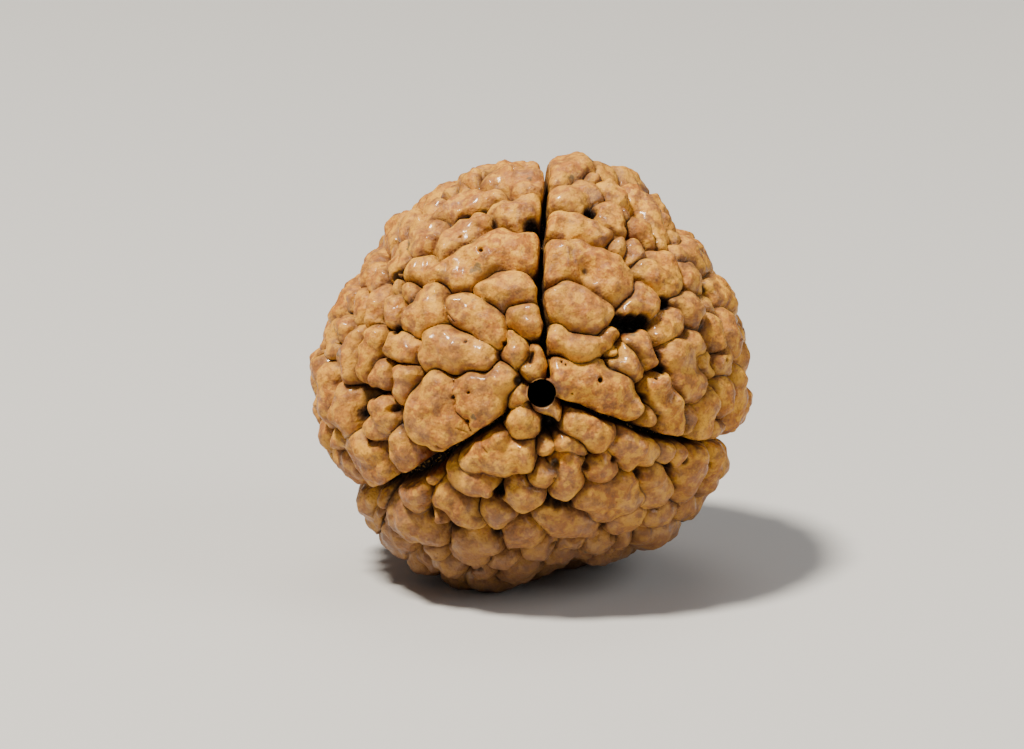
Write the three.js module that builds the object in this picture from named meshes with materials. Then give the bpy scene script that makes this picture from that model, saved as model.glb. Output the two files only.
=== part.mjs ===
// Rudraksha seed with three clefts and a drilled bore, in mm, resting on z = 0.
// The bore's open end faces -Y and points a little upwards.
import * as THREE from "three";
import { ConvexHull } from "three/addons/math/ConvexHull.js";

// The lobes were laid out on a flat front view of the seed: x to the right and
// y up from its middle, seen from 14 degrees above the ground.
const frontTilt = THREE.MathUtils.degToRad(14);
const frontRight = new THREE.Vector3(1, 0, 0);
const frontUp = new THREE.Vector3(0, Math.sin(frontTilt), Math.cos(frontTilt));
const frontOut = new THREE.Vector3(0, -Math.cos(frontTilt), Math.sin(frontTilt));

const meanRadius = 12;
const layoutRadius = 11.55;   // the creases lie about this far from the middle
const boreRadius = 0.76;
const boreMouth = [0.54, -1.17];
const boreRimDrop = 0.5;
const boreSides = 20;

// Where the seed's middle stands over the ground and beside the z axis.
const seatDepth = 11.35;
const middle = new THREE.Vector3(0, 0, seatDepth);

// Outline of the front view: angle in degrees from x, and radius.
const outline = [
  [-170, 12.15], [-160, 12.1], [-152, 11.75], [-146, 11.65], [-140, 12.1],
  [-130, 12.35], [-118, 12.4], [-108, 12.4], [-100, 12.1], [-93, 11.8],
  [-88, 11.5], [-82, 10.9], [-77, 10.75], [-70, 11.2], [-62, 11.4], [-54, 11.8],
  [-45, 11.9], [-30, 12.0], [-20, 11.8], [-8, 12.05], [5, 12.0],
  [18, 11.85], [30, 11.6], [40, 11.5], [47, 11.4], [54, 11.8],
  [62, 12.1], [75, 12.1], [84, 11.8], [92, 11.65], [100, 11.65],
  [106, 11.7], [114, 11.3], [123, 11.1], [129, 11.3], [136, 10.95], [141, 10.6], [147, 10.9],
  [158, 11.2], [168, 11.5], [178, 12.0],
];

// Clefts as paths on the front view: each point is [x, y, half the width there].
const cleftPaths = [
  [[0.95, -0.3, 0.03], [0.95, 0.4, 0.05], [0.72, 1.2, 0.1], [0.6, 1.7, 0.15], [0.82, 2.6, 0.15],
    [0.62, 3.2, 0.12], [0.5, 4, 0.11], [0.55, 6, 0.13], [0.62, 7.5, 0.14], [0.68, 8.5, 0.16],
    [0.75, 9.6, 0.15], [0.88, 10.3, 0.13], [0.82, 11.2, 0.1]],
  [[-1.2, -2.2, 0.06], [-1.6, -2.6, 0.12], [-2.3, -3.1, 0.15], [-3, -3.5, 0.15], [-4, -4.1, 0.17],
    [-4.7, -4.65, 0.25], [-5.5, -5.15, 0.36], [-6.2, -5.6, 0.34], [-7, -5.95, 0.28], [-8, -6.3, 0.17],
    [-9.2, -6.5, 0.08], [-10.1, -6.3, 0.05]],
  [[1.25, -1.4, 0.04], [1.9, -1.75, 0.1], [2.5, -1.95, 0.12], [3.2, -2.2, 0.12], [4, -2.55, 0.12],
    [4.7, -2.75, 0.14], [5.3, -3.0, 0.17], [6, -3.3, 0.2], [6.5, -3.5, 0.2], [7.5, -3.65, 0.17],
    [8.6, -3.9, 0.16], [9.3, -3.95, 0.1], [10.2, -3.9, 0.05], [10.9, -3.8, 0.05]],
];
const backHalf = 0.13;   // half the width of a cleft round the back
const cleftDepth = 2.0;

// Lobes on the front view. Each row is one lobe made of swellings [x, y, radius]
// that flow into one another; a crease runs between one row and the next.
const frontLobes = [
  // right of the upper cleft
  [[1.6, 3.7, 1.0], [2.5, 3.45, 1.15], [3.3, 3.05, 1.05]],
  [[1.3, 1.7, 0.65], [2.3, 1.35, 0.65], [3.2, 1.3, 0.65], [4.0, 1.8, 0.4], [4.45, 2.05, 0.3]],
  [[1.5, 5.5, 0.8], [1.6, 6.2, 0.95], [2.6, 6.3, 0.8], [3.6, 5.9, 0.8], [4.3, 5.1, 1.15], [4.8, 4.3, 0.6]],
  [[5.7, 3.9, 0.8], [6.3, 3.7, 0.75], [5.1, 3.2, 0.35]],
  [[5.8, 1.4, 0.75], [6.3, 0.6, 0.4]],
  [[5.2, 0.3, 1.0]],
  [[4.35, 1.1, 0.25]],
  [[1.6, -0.2, 0.75], [2.3, -0.8, 0.9], [3.1, -0.4, 0.9], [3.9, -1.2, 1.0], [4.6, -0.9, 0.9],
    [4.6, -1.8, 0.7], [5.4, -1.9, 0.6]],
  [[1.5, 8.0, 0.75], [2.4, 7.8, 0.75], [3.3, 7.5, 0.6], [4.0, 7.3, 0.4]],
  [[1.9, 9.3, 0.85], [3.0, 9.7, 0.7]],
  [[1.9, 11.0, 1.0], [2.6, 11.1, 0.9], [1.5, 10.4, 0.5]],
  [[4.2, 8.5, 0.75], [4.4, 7.9, 0.55]],
  [[4.1, 9.7, 0.6], [4.7, 9.3, 0.4]],
  [[5.1, 8.4, 0.35]],
  [[4.72, 6.95, 0.48]],
  [[5.65, 6.7, 0.5], [5.95, 6.2, 0.45]],
  [[5.9, 7.8, 0.65], [6.4, 7.3, 0.4]],
  [[3.5, 10.8, 0.7], [3.3, 10.3, 0.4]],
  [[4.7, 10.5, 0.65], [5.4, 10.5, 0.75], [6.2, 10.1, 0.5]],
  [[5.6, 9.4, 0.5], [6.3, 9.1, 0.65], [6.8, 8.5, 0.65], [7.1, 7.8, 0.55], [7.2, 7.2, 0.4]],
  [[6.8, 9.7, 0.5], [7.35, 9.0, 0.45], [7.7, 8.4, 0.4]],
  [[8.0, 7.5, 0.5]],
  [[8.8, 6.7, 0.8], [8.3, 6.3, 0.6], [9.4, 6.2, 0.55]],
  [[6.5, 5.5, 0.75], [7.3, 6.0, 0.7], [7.5, 4.9, 0.8]],
  [[8.7, 5.6, 0.7], [8.9, 4.9, 0.55]],
  [[8.6, 3.5, 0.85], [8.0, 3.8, 0.5], [8.9, 3.0, 0.6]],
  [[7.7, 2.75, 0.6], [7.3, 2.2, 0.6], [6.8, 2.0, 0.4]],
  [[7.8, 0.9, 0.9], [8.8, 1.6, 0.7], [8.1, 0.0, 0.75], [8.4, -0.8, 0.7], [9.0, -0.7, 0.7]],
  [[9.3, 0.55, 0.45], [9.55, 0.1, 0.3]],
  [[10.3, 4.6, 0.7], [10.7, 3.9, 0.6]],
  [[9.7, 3.6, 0.4]],
  [[9.9, 2.4, 0.55], [10.1, 1.6, 0.5]],
  [[10.8, 2.5, 0.6], [10.9, 1.6, 0.55]],
  [[10.4, 0.5, 0.6]],
  [[6.95, -0.9, 0.65], [7.3, -1.8, 0.9], [7.7, -2.7, 0.75], [7.9, -3.2, 0.4]],
  [[8.6, -2.5, 0.4], [8.5, -3.1, 0.3]],
  [[6.3, -2.45, 0.45]],
  [[9.5, -1.9, 0.7], [9.3, -2.8, 0.7], [9.1, -3.4, 0.4]],
  [[10.4, -0.9, 0.6], [10.4, -1.9, 0.5]],
  [[10.1, -3.1, 0.45]],
  [[11.2, -0.6, 0.5], [11.2, -1.6, 0.5], [11.0, -2.5, 0.5]],
  [[11.5, 0.8, 0.5]],
  [[11.4, 2.6, 0.5]],
  // left of the upper cleft
  [[-2.2, 4.35, 0.7], [-1.3, 4.4, 1.05], [-0.45, 4.3, 0.8]],
  [[-0.8, 3.0, 0.45], [-0.15, 3.1, 0.6], [0.1, 2.6, 0.45], [0.1, 2.2, 0.3]],
  [[-4.05, 3.6, 0.7], [-3.2, 3.1, 0.8], [-2.3, 2.5, 0.9], [-2.0, 2.0, 0.6]],
  [[-1.0, 2.0, 0.25], [-0.9, 1.4, 0.5], [-0.75, 0.85, 0.6]],
  [[0.4, 1.0, 0.3], [0.5, 0.5, 0.35], [0.3, 0.0, 0.4], [-0.1, 0.05, 0.3]],
  [[-6.3, 2.9, 0.8], [-5.6, 3.7, 0.95], [-5.3, 3.0, 0.85], [-5.0, 4.5, 0.4]],
  [[-4.9, 1.4, 1.05], [-3.8, 1.0, 0.95], [-2.7, 0.85, 0.8], [-5.5, 0.6, 0.5]],
  [[-0.6, 6.6, 1.0], [-1.7, 6.6, 1.1], [-2.9, 6.2, 1.1], [-4.0, 5.5, 0.9], [-5.0, 5.25, 0.75],
    [-6.25, 5.65, 0.75], [-3.6, 5.0, 0.7], [-0.7, 5.9, 0.7]],
  [[-2.75, 8.15, 0.6], [-3.5, 7.7, 0.6], [-4.2, 7.35, 0.8], [-4.5, 6.7, 0.7]],
  [[-1.3, 8.65, 0.8], [-0.6, 9.0, 0.6], [0.1, 9.2, 0.5]],
  [[-1.8, 10.7, 0.7], [-1.1, 10.7, 0.8], [-0.3, 10.6, 0.8], [0.1, 9.9, 0.65]],
  [[-2.9, 10.7, 0.65], [-3.6, 10.5, 0.65]],
  [[-1.4, 11.5, 0.4], [-2.6, 11.25, 0.45]],
  [[-2.0, 9.6, 0.5], [-3.1, 9.4, 0.6], [-4.2, 9.3, 0.8], [-5.1, 8.7, 0.75]],
  [[-4.6, 10.1, 0.6]],
  [[-6.3, 6.8, 0.65], [-6.3, 7.5, 0.7], [-5.6, 8.0, 0.7], [-5.6, 7.2, 0.5], [-6.2, 8.4, 0.6]],
  [[-7.2, 8.0, 0.6], [-6.8, 8.8, 0.6]],
  [[-5.6, 9.4, 0.65]],
  [[-8.05, 7.0, 0.35]],
  [[-7.4, 6.9, 0.55], [-7.6, 6.2, 0.75], [-7.1, 6.0, 0.6]],
  [[-5.0, -1.0, 0.95], [-5.7, -2.3, 1.2], [-4.8, -3.1, 1.2], [-6.0, -3.0, 0.9], [-4.2, -3.1, 0.9],
    [-1.8, -0.5, 0.85], [-3.1, -0.8, 0.8], [-2.5, -1.7, 0.95], [-3.2, -1.8, 0.8], [-2.7, -2.6, 0.7]],
  [[-0.65, -1.3, 0.5], [-1.1, -1.6, 0.3]],
  [[-7.3, 4.7, 0.45]],
  [[-7.6, 3.7, 0.55], [-7.6, 3.0, 0.5]],
  [[-6.8, 4.45, 0.4], [-6.35, 3.95, 0.35]],
  [[-8.55, 4.3, 0.5], [-8.7, 3.6, 0.6], [-8.75, 2.9, 0.45]],
  [[-9.6, 4.2, 0.45], [-9.7, 3.4, 0.45]],
  [[-8.7, 5.4, 0.7]],
  [[-9.7, 1.8, 0.6], [-10.0, 1.0, 0.65], [-9.9, 0.1, 0.5]],
  [[-8.6, 1.8, 0.65], [-8.9, 1.0, 0.6], [-9.1, 0.1, 0.45]],
  [[-8.2, 0.0, 0.55], [-8.3, -0.45, 0.4]],
  [[-7.4, 1.5, 0.6], [-6.7, 1.1, 0.6]],
  [[-6.85, -0.3, 0.7], [-6.9, -0.9, 0.6]],
  [[-10.1, -1.4, 0.55], [-10.3, -2.2, 0.7], [-10.0, -2.8, 0.6]],
  [[-8.0, -2.3, 0.8], [-8.4, -3.2, 0.55]],
  [[-7.1, -3.8, 0.8], [-6.9, -4.7, 0.75]],
  [[-9.2, -4.4, 0.9], [-8.7, -5.3, 0.9], [-8.1, -5.5, 0.6], [-8.4, -4.4, 0.5]],
  [[-10.3, 4.1, 0.45]],
  [[-10.7, 2.6, 0.5]],
  [[-11.0, 1.5, 0.45]],
  [[-11.1, -0.3, 0.5], [-11.1, -1.2, 0.45], [-11.0, -2.1, 0.4]],
  [[-11.5, 0.6, 0.4]],
  [[-10.9, -3.7, 0.55]],
  [[-10.4, -5.0, 0.55]],
  // between the two lower clefts
  [[0.95, -1.95, 0.4], [1.2, -2.25, 0.35], [0.5, -2.0, 0.25], [1.4, -2.6, 0.2]],
  [[-0.55, -2.8, 0.9]],
  [[2.6, -2.85, 0.85], [3.2, -3.15, 1.05], [3.65, -3.4, 0.85]],
  [[1.75, -3.9, 0.4], [2.5, -4.25, 0.45]],
  [[0.75, -4.1, 0.4]],
  [[0.6, -5.7, 0.65]],
  [[2.1, -5.2, 0.75], [1.9, -6.2, 0.75]],
  [[3.8, -5.2, 0.75]],
  [[-1.7, -3.6, 0.45], [-2.4, -4.5, 0.85], [-3.2, -5.0, 0.6], [-1.4, -4.8, 0.9], [-0.4, -4.6, 0.75]],
  [[-4.1, -5.5, 0.5], [-3.3, -6.0, 0.8], [-2.5, -6.2, 0.65]],
  [[-5.4, -5.75, 0.33]],
  [[-0.4, -6.7, 0.95]],
  [[-4.5, -6.8, 0.75], [-3.7, -7.4, 0.7], [-3.2, -8.0, 0.55]],
  [[-1.9, -7.7, 0.75]],
  [[-3.3, -9.2, 0.8], [-2.5, -9.3, 0.7], [-3.0, -9.8, 0.6]],
  [[-0.5, -8.9, 0.95]],
  [[-6.3, -6.75, 0.75]],
  [[-7.3, -7.5, 0.5], [-6.6, -8.0, 0.8], [-5.6, -8.5, 0.85], [-4.9, -8.7, 0.5]],
  [[-4.8, -7.9, 0.35]],
  [[-5.0, -9.5, 0.5]],
  [[-4.3, -10.2, 0.55]],
  [[-1.6, -10.2, 0.6]],
  [[-3.6, -11.3, 0.8]],
  [[-2.0, -11.3, 0.8]],
  [[-0.6, -11.1, 0.7]],
  [[-7.9, -7.0, 0.4]],
  [[-8.9, -7.2, 0.6], [-8.5, -7.9, 0.65], [-8.1, -8.5, 0.4]],
  [[-9.5, -7.2, 0.4], [-9.2, -7.9, 0.4]],
  [[-7.6, -9.0, 0.7], [-6.9, -9.5, 0.7]],
  [[-6.1, -10.3, 0.75]],
  [[3.4, -6.8, 1.0], [4.6, -6.6, 1.0], [4.0, -7.6, 0.8], [5.3, -7.0, 0.8]],
  [[0.9, -7.9, 0.5], [1.5, -8.2, 0.8], [2.3, -8.6, 0.9], [3.1, -8.8, 0.6]],
  [[5.1, -8.35, 0.7], [5.8, -7.9, 0.4]],
  [[0.6, -10, 0.7]],
  [[2.2, -9.9, 0.6]],
  [[3.7, -9.9, 0.8]],
  [[5, -9.5, 0.6]],
  [[5.0, -3.8, 0.7], [5.8, -4.1, 0.7], [6.4, -4.5, 0.5], [5.3, -4.9, 0.5]],
  [[7.3, -4.4, 0.5]],
  [[8.0, -4.6, 0.45]],
  [[6.6, -5.9, 0.75], [6.8, -6.8, 0.75]],
  [[9.1, -4.7, 0.55], [8.9, -5.4, 0.6], [8.6, -6.1, 0.55], [8.2, -6.7, 0.4]],
  [[10.2, -4.6, 0.5], [10.0, -5.5, 0.45], [9.6, -6.2, 0.4]],
  [[9.6, -6.9, 0.35], [9.1, -7.5, 0.4], [8.4, -8.0, 0.4]],
  [[7.0, -7.9, 0.6], [7.6, -7.6, 0.4], [6.4, -8.1, 0.4]],
  [[6.8, -9.1, 0.75], [7.6, -8.7, 0.6], [6.0, -9.2, 0.5]],
];

// Lobes that the seed rests on: x and y on the ground, and radius.
const footLobes = [
  [-2.8, -1.9, 1.1], [-0.1, -1.2, 1.15], [-3.0, 0.9, 1.1], [-1.3, 1.0, 0.8], [2.2, 1.1, 1.2],
  [0.3, 2.9, 1.05], [3.2, 3.2, 1.0], [-2.2, 3.3, 1.0],
];

// Pits between the lobes: [x, y, radius, depth].
const pits = [
  [4.8, 2.6, 0.45, 1.8], [5.4, 2.6, 0.5, 2.0], [6.0, 2.7, 0.4, 1.8], [3.2, 8.6, 0.35, 1.4],
  [7.25, 3.7, 0.35, 1.5],
  [9.6, 4.8, 0.35, 1.3], [9.2, 2.6, 0.3, 1.1], [6.75, 0.85, 0.25, 1.5], [7.0, 0.1, 0.25, 1.5],
  [6.0, -1.5, 0.25, 1.2], [10.2, 3.1, 0.3, 1.1], [9.6, 1.1, 0.25, 1.0], [5.1, 9.3, 0.2, 1.1],
  [5.7, 8.5, 0.2, 1.1], [5.1, 7.8, 0.2, 1.1], [6.2, 6.9, 0.2, 1.1], [7.9, 7.0, 0.2, 1.1],
  [0.1, 8.05, 0.4, 1.5], [-3.8, 8.5, 0.35, 1.4], [-2.6, 8.85, 0.22, 1.2], [-2.05, 8.0, 0.18, 1.0],
  [-0.75, -0.5, 0.25, 1.1], [-7.6, 5.15, 0.25, 1.4], [-7.1, 5.3, 0.25, 1.3], [-7.3, 2.2, 0.25, 1.3],
  [-9.4, 2.8, 0.2, 1.1], [-9.2, -2.4, 0.4, 1.5], [-8.4, -1.2, 0.35, 1.5], [-8.8, -3.6, 0.25, 1.1],
  [-7.4, -2.05, 0.25, 1.1], [-6.95, -2.9, 0.22, 1.1], [0.98, -2.9, 0.42, 1.8], [1.3, -5.0, 0.2, 1.0],
  [2.9, -5.1, 0.2, 1.0], [4.4, -4.75, 0.2, 1.0], [5.75, -5.6, 0.22, 1.1], [-1.75, -6.5, 0.35, 1.4],
  [-4.2, -8.3, 0.3, 1.2], [-1.8, -8.7, 0.3, 1.2], [-5.3, -7.6, 0.25, 1.2], [0.85, -7.1, 0.25, 1.2],
  [1.4, -7.25, 0.25, 1.2], [2.0, -7.2, 0.25, 1.2], [3.9, -8.6, 0.25, 1.1], [4.6, -9.2, 0.25, 1.1],
  [1.2, -9.7, 0.22, 1.0],
  [7.4, -5.2, 0.28, 1.3], [8.4, -4.9, 0.2, 1.2], [9.75, -5.1, 0.2, 1.0], [7.8, -6.4, 0.2, 1.0],
  [7.9, -7.4, 0.2, 1.0], [-7.85, -7.9, 0.2, 1.0], [-5.5, -5.35, 0.2, 1.3],
];

const lobeRelief = 0.55;   // how far a lobe of 1 mm radius stands out
const domeReach = 1.35;    // where its dome would come down to nothing, in radii
const domePower = 2.2;     // higher is flatter on top
const creaseDrop = 0.6;    // how far the rounded shoulder falls at a crease
const shoulderWidth = 0.38;
const stepWidth = 0.15;    // over which two lobes of unlike height meet
const gapDrop = 0.45;      // how far the surface falls where no lobe reaches
const cleftShoulder = 0.55;
const cleftShoulderDrop = 0.55;
const boreEase = 0.3;      // width of the even ring round the bore's mouth
const swellingBlend = 0.22;
const riseBlend = 0.1;
const lobeReach = 3.5;     // a lobe further away than this has no say
const pitFloor = 0.5;      // a pit is flat out to here and level with the lobes
const pitBrim = 1.35;      // from here on, both in its radii
const cleftWall = 0.12;    // width of a cleft's sloping side
const outlineStart = [35, 80];   // the outline counts between these angles from the
const outlineEnd = [94, 114];    // front view's middle, coming in and going out

function fromFront(x, y) {
  const inside = Math.max(0, 1 - (x * x + y * y) / layoutRadius ** 2);
  return new THREE.Vector3()
    .addScaledVector(frontRight, x / layoutRadius)
    .addScaledVector(frontUp, y / layoutRadius)
    .addScaledVector(frontOut, Math.sqrt(inside))
    .normalize();
}

function smoothStep(from, to, value) {
  const t = Math.min(1, Math.max(0, (value - from) / (to - from)));
  return t * t * (3 - 2 * t);
}

const boreAxis = fromFront(...boreMouth);
const boreSide = new THREE.Vector3().crossVectors(frontUp, boreAxis).normalize();
const boreTop = new THREE.Vector3().crossVectors(boreAxis, boreSide);

// Turn around the bore's axis and angle away from it, in degrees.
function roundBore(direction) {
  return {
    turn: THREE.MathUtils.radToDeg(Math.atan2(direction.dot(boreTop), direction.dot(boreSide))),
    away: THREE.MathUtils.radToDeg(Math.acos(THREE.MathUtils.clamp(direction.dot(boreAxis), -1, 1))),
  };
}

// Each cleft goes on over the back of the seed to the far end of the bore.
const backGap = 7;
const clefts = cleftPaths.map((path) => {
  const corners = path.map(([x, y]) => fromFront(x, y));
  const halves = path.map((point) => point[2]);
  const last = roundBore(corners[corners.length - 1]);
  for (let away = last.away + 4; away < 180 - backGap; away += 4) {
    const wander = 2.2 * Math.sin(away * 0.11 + last.turn);
    const turn = THREE.MathUtils.degToRad(last.turn + wander * smoothStep(last.away, 120, away));
    const lean = THREE.MathUtils.degToRad(away);
    corners.push(new THREE.Vector3()
      .addScaledVector(boreAxis, Math.cos(lean))
      .addScaledVector(boreSide, Math.sin(lean) * Math.cos(turn))
      .addScaledVector(boreTop, Math.sin(lean) * Math.sin(turn)));
    halves.push(backHalf);
  }
  return { corners, halves, marks: corners.map(roundBore) };
});

function cleftTurn(cleft, away) {
  const { marks } = cleft;
  if (away <= marks[0].away) return marks[0].turn;
  for (let i = 1; i < marks.length; i++) {
    if (away <= marks[i].away) {
      const part = (away - marks[i - 1].away) / (marks[i].away - marks[i - 1].away);
      let step = marks[i].turn - marks[i - 1].turn;
      step -= 360 * Math.round(step / 360);
      return marks[i - 1].turn + part * step;
    }
  }
  return marks[marks.length - 1].turn;
}

// Which of the three faces of the seed a direction lies on.
function faceOf(direction) {
  const { turn, away } = roundBore(direction);
  const gaps = clefts.map((cleft) => {
    const gap = (turn - cleftTurn(cleft, away)) % 360;
    return gap < 0 ? gap + 360 : gap;
  });
  return gaps.indexOf(Math.min(...gaps));
}

// Distance in mm from the nearest cleft's side wall.
const hereToStart = new THREE.Vector3();
const startToEnd = new THREE.Vector3();
function cleftGap(direction) {
  let best = Infinity;
  for (const { corners, halves } of clefts) {
    for (let i = 1; i < corners.length; i++) {
      startToEnd.subVectors(corners[i], corners[i - 1]);
      hereToStart.subVectors(direction, corners[i - 1]);
      const along = THREE.MathUtils.clamp(hereToStart.dot(startToEnd) / startToEnd.lengthSq(), 0, 1);
      hereToStart.addScaledVector(startToEnd, -along);
      const half = halves[i - 1] + along * (halves[i] - halves[i - 1]);
      best = Math.min(best, hereToStart.length() * meanRadius - half);
    }
  }
  return best;
}

// Repeatable random numbers for the lobes on the hidden side.
let seedState = 20417;
function nextRandom() {
  seedState = (seedState * 16807) % 2147483647;
  return seedState / 2147483647;
}

// A lobe near the edge of the front view is seen narrowed, so it is made larger.
const limbStretch = 0.5;
const lobes = frontLobes.map((row) => ({
  swellings: row.map(([x, y, radius]) => {
    const seen = Math.sqrt(Math.max(0.12, 1 - (x * x + y * y) / meanRadius ** 2));
    return { at: fromFront(x, y), radius: radius * (1 + limbStretch * (1 / seen - 1)) };
  }),
}));
for (const [x, y, radius] of footLobes) {
  lobes.push({ swellings: [{ at: new THREE.Vector3(x, y, -seatDepth).normalize(), radius }] });
}
for (const lobe of lobes) lobe.face = faceOf(lobe.swellings[0].at);

const pitList = pits.map(([x, y, radius, depth]) => ({ at: fromFront(x, y), radius, depth }));

// Radius that a new lobe may have at a place; lobes overlap by a tenth.
const overlap = 0.9;
const boreRoom = 1.1;
function roomAt(direction) {
  let room = cleftGap(direction) * overlap;
  room = Math.min(room, direction.distanceTo(boreAxis) * meanRadius - boreRoom);
  room = Math.min(room, direction.clone().negate().distanceTo(boreAxis) * meanRadius - boreRoom);
  for (const lobe of lobes) {
    for (const { at, radius } of lobe.swellings) {
      room = Math.min(room, direction.distanceTo(at) * meanRadius - radius * overlap);
    }
  }
  for (const { at, radius } of pitList) {
    room = Math.min(room, direction.distanceTo(at) * meanRadius - radius);
  }
  return room;
}

// Fill the side that the front view hides with lobes of the same mix of sizes.
const fillSteps = [[1.25, 900], [0.95, 2000], [0.7, 4000]];   // radius and tries
const frontRoom = 0.85;     // smallest such lobe on the front
for (const [wanted, tries] of fillSteps) {
  for (let i = 0; i < tries; i++) {
    const height = 2 * nextRandom() - 1;
    const turn = 2 * Math.PI * nextRandom();
    const grow = nextRandom();
    const heading = 2 * Math.PI * nextRandom();
    const flat = Math.sqrt(1 - height * height);
    const at = new THREE.Vector3(flat * Math.cos(turn), flat * Math.sin(turn), height);
    const inFront = at.dot(frontOut) > 0.2;
    if (roomAt(at) < (inFront ? Math.max(wanted, frontRoom) : wanted)) continue;
    const radius = wanted * (1 + 0.15 * grow);
    const lobe = { swellings: [{ at, radius }], face: faceOf(at) };
    lobes.push(lobe);
    // Larger lobes get one or two swellings more, beside the first.
    const more = wanted > 0.7 ? Math.floor(3 * grow) : 0;
    const side = new THREE.Vector3(0, 0, 1).cross(at).normalize();
    const over = new THREE.Vector3().crossVectors(at, side);
    for (let j = 1; j <= more; j++) {
      const reach = (radius * 1.15 * j) / meanRadius;
      const next = at.clone()
        .addScaledVector(side, reach * Math.cos(heading + 0.5 * j))
        .addScaledVector(over, reach * Math.sin(heading + 0.5 * j))
        .normalize();
      if (faceOf(next) !== lobe.face || cleftGap(next) < 0.8) break;
      lobe.swellings.push({ at: next, radius: radius * (0.9 - 0.1 * j) });
    }
  }
}

function outlineRadius(degrees) {
  for (let i = 0; i < outline.length; i++) {
    const [from, low] = outline[i];
    const [to, high] = outline[(i + 1) % outline.length];
    const span = (to - from + 360) % 360;
    const part = ((degrees - from + 720) % 360) / span;
    if (part <= 1) return low + (high - low) * smoothStep(0, 1, part);
  }
  return meanRadius;
}

// Radius that the tops of the lobes reach.
function envelope(direction) {
  const x = direction.dot(frontRight);
  const y = direction.dot(frontUp);
  const away = THREE.MathUtils.radToDeg(Math.acos(THREE.MathUtils.clamp(direction.dot(frontOut), -1, 1)));
  const edge = smoothStep(...outlineStart, away) * (1 - smoothStep(...outlineEnd, away));
  const rim = outlineRadius(THREE.MathUtils.radToDeg(Math.atan2(y, x)));
  return meanRadius + (rim - meanRadius) * edge;
}

// Depth below the envelope, and distance from the nearest crease and cleft, in mm.
function relief(direction) {
  const face = faceOf(direction);
  let first = null;
  let second = null;
  for (const lobe of lobes) {
    if (lobe.face !== face) continue;
    let sum = 0;
    let nearest = Infinity;
    for (const { at, radius } of lobe.swellings) {
      const gap = direction.distanceTo(at) * meanRadius - radius;
      nearest = Math.min(nearest, gap);
      if (gap < lobeReach + 0.5) sum += Math.exp(-gap / swellingBlend);
    }
    if (nearest > lobeReach) continue;
    const gap = -swellingBlend * Math.log(sum);
    if (!first || gap < first.gap) {
      second = first;
      first = { gap, lobe };
    } else if (!second || gap < second.gap) {
      second = { gap, lobe };
    }
  }
  const border = second ? (second.gap - first.gap) / 2 : 2;
  const rise = first ? domeOf(first.lobe, direction) : 0;
  const other = second ? domeOf(second.lobe, direction) : 0;
  const top = rise - (rise - Math.min(rise, other)) * Math.exp(-border / stepWidth);
  const cleft = cleftGap(direction);
  const inward = 1 - Math.min(1, border / shoulderWidth);
  let depth = lobeRelief - top + creaseDrop * (1 - Math.sqrt(1 - inward * inward));
  if (first) depth += gapDrop * smoothStep(0.05, 0.6, first.gap);
  const besideCleft = 1 - THREE.MathUtils.clamp(cleft / cleftShoulder, 0, 1);
  depth += cleftShoulderDrop * (1 - Math.sqrt(1 - besideCleft * besideCleft));
  for (const { at, radius, depth: floor } of pitList) {
    const gap = direction.distanceTo(at) * meanRadius;
    const inPit = 1 - smoothStep(radius * pitFloor, radius * pitBrim, gap);
    if (floor > depth) depth += (floor - depth) * inPit;
  }
  const inCleft = 1 - smoothStep(-0.02, cleftWall, cleft);
  if (cleftDepth > depth) depth += (cleftDepth - depth) * inCleft;
  const mouth = Math.min(direction.distanceTo(boreAxis), direction.clone().negate().distanceTo(boreAxis));
  const atBore = 1 - smoothStep(boreRadius, boreRadius + boreEase, mouth * meanRadius);
  depth += (boreRimDrop - depth) * atBore;
  return { depth, border, cleft };
}

function domeOf(lobe, direction) {
  let sum = 0;
  for (const { at, radius } of lobe.swellings) {
    const part = (direction.distanceTo(at) * meanRadius) / (domeReach * radius);
    const rise = lobeRelief * radius ** 0.6 * (1 - part ** domePower);
    sum += Math.exp(Math.max(rise, -1) / riseBlend);
  }
  return riseBlend * Math.log(sum);
}

function surfacePoint(direction) {
  let radius = envelope(direction) - relief(direction).depth;
  if (direction.z < 0) radius = Math.min(radius, seatDepth / -direction.z);
  return direction.clone().multiplyScalar(radius).add(middle);
}

// Directions to the points of the surface: both bore mouths, the clefts with
// their lips, the creases and then the lobes in between.
const directions = [];
function isFree(direction, room) {
  const limit = (room / meanRadius) ** 2;
  return directions.every((other) => other.distanceToSquared(direction) >= limit);
}

const mouths = [1, -1].map((end) => {
  const start = directions.length;
  const lean = Math.asin(boreRadius / meanRadius);
  for (let i = 0; i < boreSides; i++) {
    const turn = (2 * Math.PI * i) / boreSides;
    directions.push(new THREE.Vector3()
      .addScaledVector(boreAxis, end * Math.cos(lean))
      .addScaledVector(boreSide, Math.sin(lean) * Math.cos(turn))
      .addScaledVector(boreTop, Math.sin(lean) * Math.sin(turn)));
  }
  return start;
});

function outsideBore(direction, room) {
  const limit = (boreRadius + room) / meanRadius;
  return direction.distanceTo(boreAxis) > limit && direction.clone().negate().distanceTo(boreAxis) > limit;
}

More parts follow.
